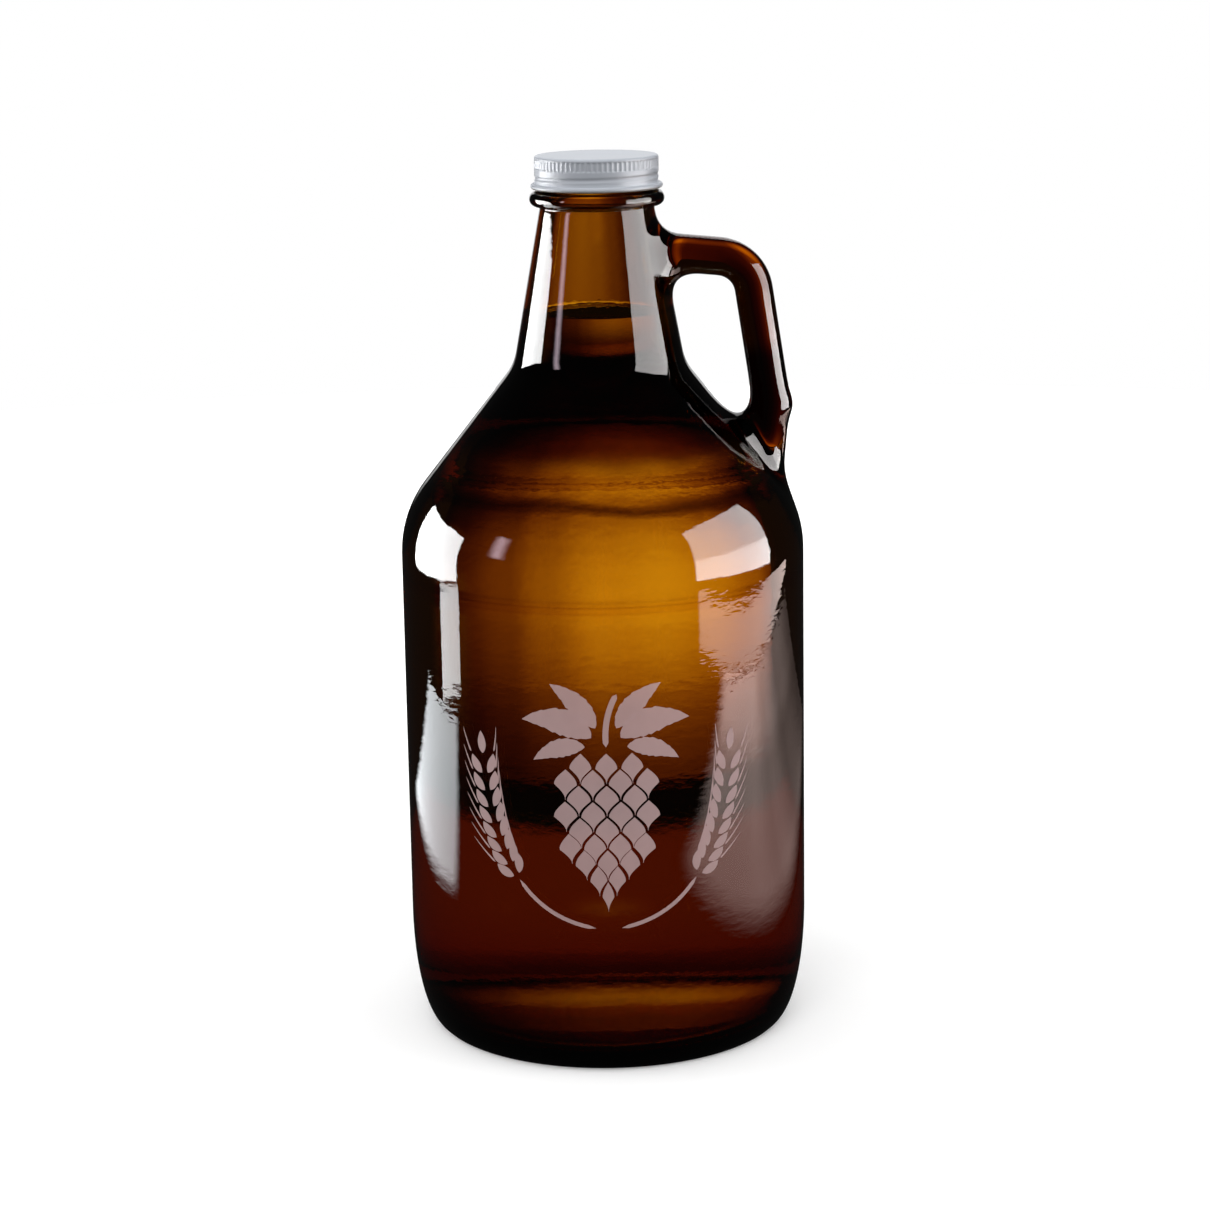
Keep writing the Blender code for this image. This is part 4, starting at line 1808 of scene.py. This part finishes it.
Stops = tuple[tuple[float, float], ...]
SOFT: Stops = ((0.0, 0.0), (1.0, 0.0), (0.12, 1.0), (0.88, 1.0))
WAVE: Stops = ((0.0, 0.0), (1.0, 0.0), (0.5, 1.0))
CRISP: Stops = ((0.0, 0.0), (1.0, 0.0), (0.03, 1.0), (0.97, 1.0))


@dataclass(frozen=True)
class Card:
    """A glowing card whose light fades over its width and height.

    Attributes:
        name: what it is.
        centre: where its middle is.
        right: from its middle to its right edge.
        up: from its middle to its upper edge.
        radiance: how bright its brightest spot is.
        seen: which rays see it.
        colour: its colour.
        across: brightness from its left to its right edge.
        upward: brightness from its lower to its upper edge.
        warming: how much redder its dim places are; 1 is not at all.
    """

    name: str
    centre: tuple[float, float, float]
    right: tuple[float, float, float]
    up: tuple[float, float, float]
    radiance: float
    seen: Seen = Seen.MIRRORED
    colour: Colour = (1.0, 1.0, 1.0)
    across: Stops = SOFT
    upward: Stops = SOFT
    warming: float = 1.0

    def material(self) -> bpy.types.Material:
        """The card's glow.

        Returns:
            The material.
        """
        recipe = Recipe(self.name)
        place = recipe.node("ShaderNodeTexCoord", {}, {}, "Object")
        glow = None
        for axis, stops in (("X", self.across), ("Y", self.upward)):
            along = recipe.node("ShaderNodeSeparateXYZ", {}, {0: place}, axis)
            share = recipe.node("ShaderNodeValToRGB", {"stops": stops}, {0: along * 0.5 + 0.5})
            glow = share if glow is None else glow * share
        tints = [glow ** power * part for power, part in
                 zip((1.0, self.warming, self.warming ** 2), self.colour)]
        shade = recipe.node("ShaderNodeCombineColor", {}, dict(enumerate(tints)))
        recipe.surface(Base_Color=(0.0, 0.0, 0.0), Specular_IOR_Level=0.0, Emission_Color=shade,
                       Emission_Strength=self.radiance)
        return recipe.material

    def build(self) -> None:
        """Stand the card up."""
        shell = Shell()
        loop = shell.add_points(np.array([(-1, -1, 0), (1, -1, 0), (1, 1, 0), (-1, 1, 0)]))
        shell.faces.append(tuple(int(n) for n in loop))
        card = shell.make(self.name, self.material())
        right, up = Vector(self.right), Vector(self.up)
        columns = (right, up, right.cross(up).normalized(), Vector(self.centre))
        card.matrix_world = Matrix([[*(column[row] for column in columns)]
                                    for row in range(3)] + [[0, 0, 0, 1]])
        set_seen(card, self.seen)


@dataclass(frozen=True)
class SoftLamp:
    """A soft lamp for the matt surfaces.

    Attributes:
        name: what it is.
        place: where its middle is.
        aim: the point that it faces.
        size: its width and height in metres.
        radiance: how bright its face is.
        colour: its colour.
    """

    name: str
    place: tuple[float, float, float]
    aim: tuple[float, float, float]
    size: tuple[float, float]
    radiance: float
    colour: Colour = (1.0, 1.0, 1.0)

    def build(self) -> None:
        """Hang the lamp."""
        lamp = bpy.data.lights.new(self.name, "AREA")
        lamp.shape = "RECTANGLE"
        lamp.size, lamp.size_y = self.size
        lamp.energy = self.radiance * math.pi * self.size[0] * self.size[1]
        lamp.color = self.colour
        obj = bpy.data.objects.new(self.name, lamp)
        bpy.context.scene.collection.objects.link(obj)
        obj.location = self.place
        facing = Vector(self.aim) - Vector(self.place)
        obj.rotation_euler = facing.to_track_quat("-Z", "Y").to_euler()
        set_seen(obj, Seen.LIGHTS)
        obj.visible_shadow = True


@dataclass
class Studio:
    """The pale floor, the white surround, the lamps and the camera.

    Attributes:
        camera_place: where the camera is.
        camera_pitch: how far it looks down, in degrees.
        camera_roll: how far it leans, in degrees.
        lens: its focal length in millimetres.
        side_shift: its sideways shift.
        surround: how bright the surround is for everything but the camera.
    """

    camera_place: tuple[float, float, float] = (0.0, -0.985, 0.3598)
    camera_pitch: float = 12.79
    camera_roll: float = 0.957
    lens: float = 93.75
    side_shift: float = 0.00115
    surround: float = 0.012

    def lamps(self) -> list[Union[Card, SoftLamp]]:
        """The glowing cards that the glass shows, and the lamps for everything matt.

        Returns:
            All of them.
        """
        glow = ((0.0, 0.0), (1.0, 0.34), (0.046, 0.0), (0.070, 0.10), (0.108, 0.15),
                (0.150, 0.23), (0.188, 0.35), (0.223, 0.57), (0.273, 0.78), (0.323, 0.94),
                (0.385, 1.0), (0.46, 0.75), (0.52, 0.32), (0.70, 0.28))
        spread = ((0.0, 0.20), (1.0, 0.02), (0.145, 0.48), (0.325, 0.86), (0.42, 1.0),
                  (0.50, 0.84), (0.575, 0.48), (0.645, 0.235), (0.82, 0.07))
        return [
            Card("back_card", (0.0, 0.25, 0.13), (0.10, 0, 0), (0, 0, 0.13), 1.17,
                 Seen.THROUGH, across=spread, upward=glow, warming=1.42),
            Card("front_card", (0.0, -0.27, 0.13), (-0.11, 0, 0), (0, 0, 0.13), 0.85,
                 Seen.THROUGH, across=WAVE, upward=glow, warming=1.42),
            Card("left_card", (-0.27, 0.0, 0.13), (0, 0.11, 0), (0, 0, 0.13), 0.85,
                 Seen.THROUGH, across=WAVE, upward=glow, warming=1.42),
            Card("right_card", (0.27, 0.0, 0.13), (0, -0.11, 0), (0, 0, 0.13), 0.85,
                 Seen.THROUGH, across=WAVE, upward=glow, warming=1.42),
            Card("back_table", (0.0, 0.13, 0.001), (0.15, 0, 0), (0, 0.115, 0), 0.11,
                 Seen.THROUGH, colour=(1.0, 0.20, 0.08)),
            Card("left_box", (-0.455, 0.13, 0.193), (0.05, 0.175, 0), (0, 0, 0.130), 15.0,
                 across=CRISP, upward=CRISP),
            Card("left_low", (-0.486, 0.020, 0.031), (0.019, 0.065, 0), (0, 0, 0.030), 8.0,
                 across=CRISP),
            Card("left_glint", (0.46, 0.08, 0.10), (0.030, -0.13, 0), (0, 0, 0.10), 3.2,
                 Seen.THROUGH, across=CRISP),
            Card("left_table", (-0.335, 0.10, 0.001), (0.135, 0, 0), (0, 0.13, 0), 6.0,
                 colour=(0.93, 0.97, 1.0), across=((0.0, 1.0), (1.0, 0.0), (0.86, 0.8))),
            Card("right_box", (0.537, -0.12, 0.321), (-0.062, -0.28, 0), (0, 0, 0.246), 11.0,
                 colour=(1.0, 0.97, 0.96), across=CRISP,
                 upward=((0.0, 0.0), (1.0, 0.0), (0.02, 1.0), (0.30, 1.0), (0.37, 0.60),
                         (0.97, 0.60))),
            Card("right_low", (0.55, 0.02, 0.020), (-0.075, -0.40, 0), (0, 0, 0.018), 4.4,
                 colour=(1.0, 0.78, 0.71), across=CRISP),
            Card("right_table", (0.37, 0.06, 0.001), (0, 0.30, 0), (-0.22, 0, 0), 7.5,
                 colour=(1.0, 0.76, 0.69),
                 across=((0.0, 0.0), (1.0, 0.04), (0.10, 1.0), (0.34, 0.85), (0.50, 0.45),
                         (0.70, 0.16)),
                 upward=((0.0, 0.0), (1.0, 0.0), (0.04, 1.0), (0.32, 0.80), (0.52, 0.42),
                         (0.86, 0.32))),
            Card("strip_light", (-0.70, -0.38, 0.44), (0.045, -0.083, 0), (0, 0, 0.15), 6.5,
                 colour=(1.0, 0.80, 0.92), across=WAVE),
            Card("white_wall", (0.0, 1.6, 0.9), (0.60, 0, 0), (0, 0, 0.9), 1.0),
            SoftLamp("front_fill", (-0.25, -1.3, 0.9), (0.0, 0.0, 0.15), (0.9, 0.7), 4.4),
            SoftLamp("left_fill", (-0.9, 0.0, 0.5), (0.0, 0.0, 0.27), (0.5, 0.7), 2.4),
            SoftLamp("right_fill", (0.9, -0.3, 0.5), (0.0, 0.0, 0.27), (0.5, 0.7), 2.4),
            SoftLamp("overhead", (0.0, 0.0, 2.4), (0.0, 0.0, 0.0), (4.5, 4.5), 1.6),
        ]

    def build_floor(self) -> bpy.types.Object:
        """Lay the floor.

        Returns:
            The floor.
        """
        shell, finish = Shell(), StudioFloor()
        rings = [(finish.first_ring * finish.growth ** k, 0.0) for k in range(finish.rings)]
        rows = shell.lathe(rings, finish.columns)
        shell.fan(rows[0], np.zeros(3), flip=True)
        floor = shell.make("studio_floor", finish.material())
        floor.visible_glossy = False
        floor.visible_transmission = False
        floor.visible_diffuse = False
        return floor

    def build_surround(self) -> None:
        """White where the camera looks past the jug, dim for everything else."""
        world = bpy.data.worlds.new("studio_surround")
        world.use_nodes = True
        bpy.context.scene.world = world
        nodes, links = world.node_tree.nodes, world.node_tree.links
        plain = nodes["Background"]
        plain.inputs["Color"].default_value = (1.0, 1.0, 1.0, 1.0)
        plain.inputs["Strength"].default_value = self.surround
        bright = nodes.new("ShaderNodeBackground")
        bright.inputs["Color"].default_value = (1.0, 1.0, 1.0, 1.0)
        path = nodes.new("ShaderNodeLightPath")
        mix = nodes.new("ShaderNodeMixShader")
        links.new(path.outputs["Is Camera Ray"], mix.inputs[0])
        links.new(plain.outputs[0], mix.inputs[1])
        links.new(bright.outputs[0], mix.inputs[2])
        links.new(mix.outputs[0], nodes["World Output"].inputs["Surface"])

    def build_camera(self) -> None:
        """Set up the camera."""
        lens = bpy.data.cameras.new("studio_camera")
        lens.lens = self.lens
        lens.sensor_width = 36.0
        lens.shift_x = self.side_shift
        camera = bpy.data.objects.new("studio_camera", lens)
        bpy.context.scene.collection.objects.link(camera)
        tilt = Matrix.Rotation(math.radians(90 - self.camera_pitch), 4, "X")
        roll = Matrix.Rotation(math.radians(-self.camera_roll), 4, "Z")
        camera.matrix_world = Matrix.Translation(self.camera_place) @ tilt @ roll
        bpy.context.scene.camera = camera

    def build(self) -> None:
        """Build the whole studio."""
        self.build_camera()
        self.build_surround()
        self.build_floor()
        for lamp in self.lamps():
            lamp.build()
        bpy.context.scene.view_settings.view_transform = "Standard"


def place_piece(piece: bpy.types.Object, body: str, node: str) -> None:
    """Hang a piece on its body, let it stand for its node and report it.

    Args:
        piece: the piece.
        body: the frame's body that it rides on.
        node: the node that it replaces, or nothing.
    """
    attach(piece, body)
    if node:
        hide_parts(node)
    LOG.info("%s: %d faces, rides on %s", piece.name, len(piece.data.polygons), body)


def main() -> None:
    """Build the studio, then every piece in order."""
    logging.basicConfig(level=logging.INFO, format="%(name)s: %(message)s")
    Studio().build()
    jug = GlassJug()
    place_piece(jug.build(AmberGlass().material()), "jug", "glass_jug")
    place_piece(Contents(jug).build(PaleBeer().material()), "jug", "beer")
    motif = EtchedMotif(jug.body_radius)
    place_piece(motif.build(EtchedFrost().material()), "jug", "")
    cap = ScrewCap()
    enamel = WhiteEnamel().material(cap.bottom, cap.hem_warmth)
    place_piece(cap.build(enamel), "cap", "cap_shell")
    board = LinerDisc("cap_liner_board", "liner_pulp_board", sag=0.0)
    place_piece(board.build(PulpBoard().material()), "liner", "cap_liner_board")
    film = LinerDisc("cap_liner_film", "liner_sealing_film", sag=0.00005)
    rim_middle = (jug.bore_radius + jug.finish_radius) / 2
    skin = LinerFilm().material(rim_middle, jug.finish_radius - jug.bore_radius)
    place_piece(film.build(skin), "liner", "cap_liner_film")


if __name__ == "__main__":
    main()
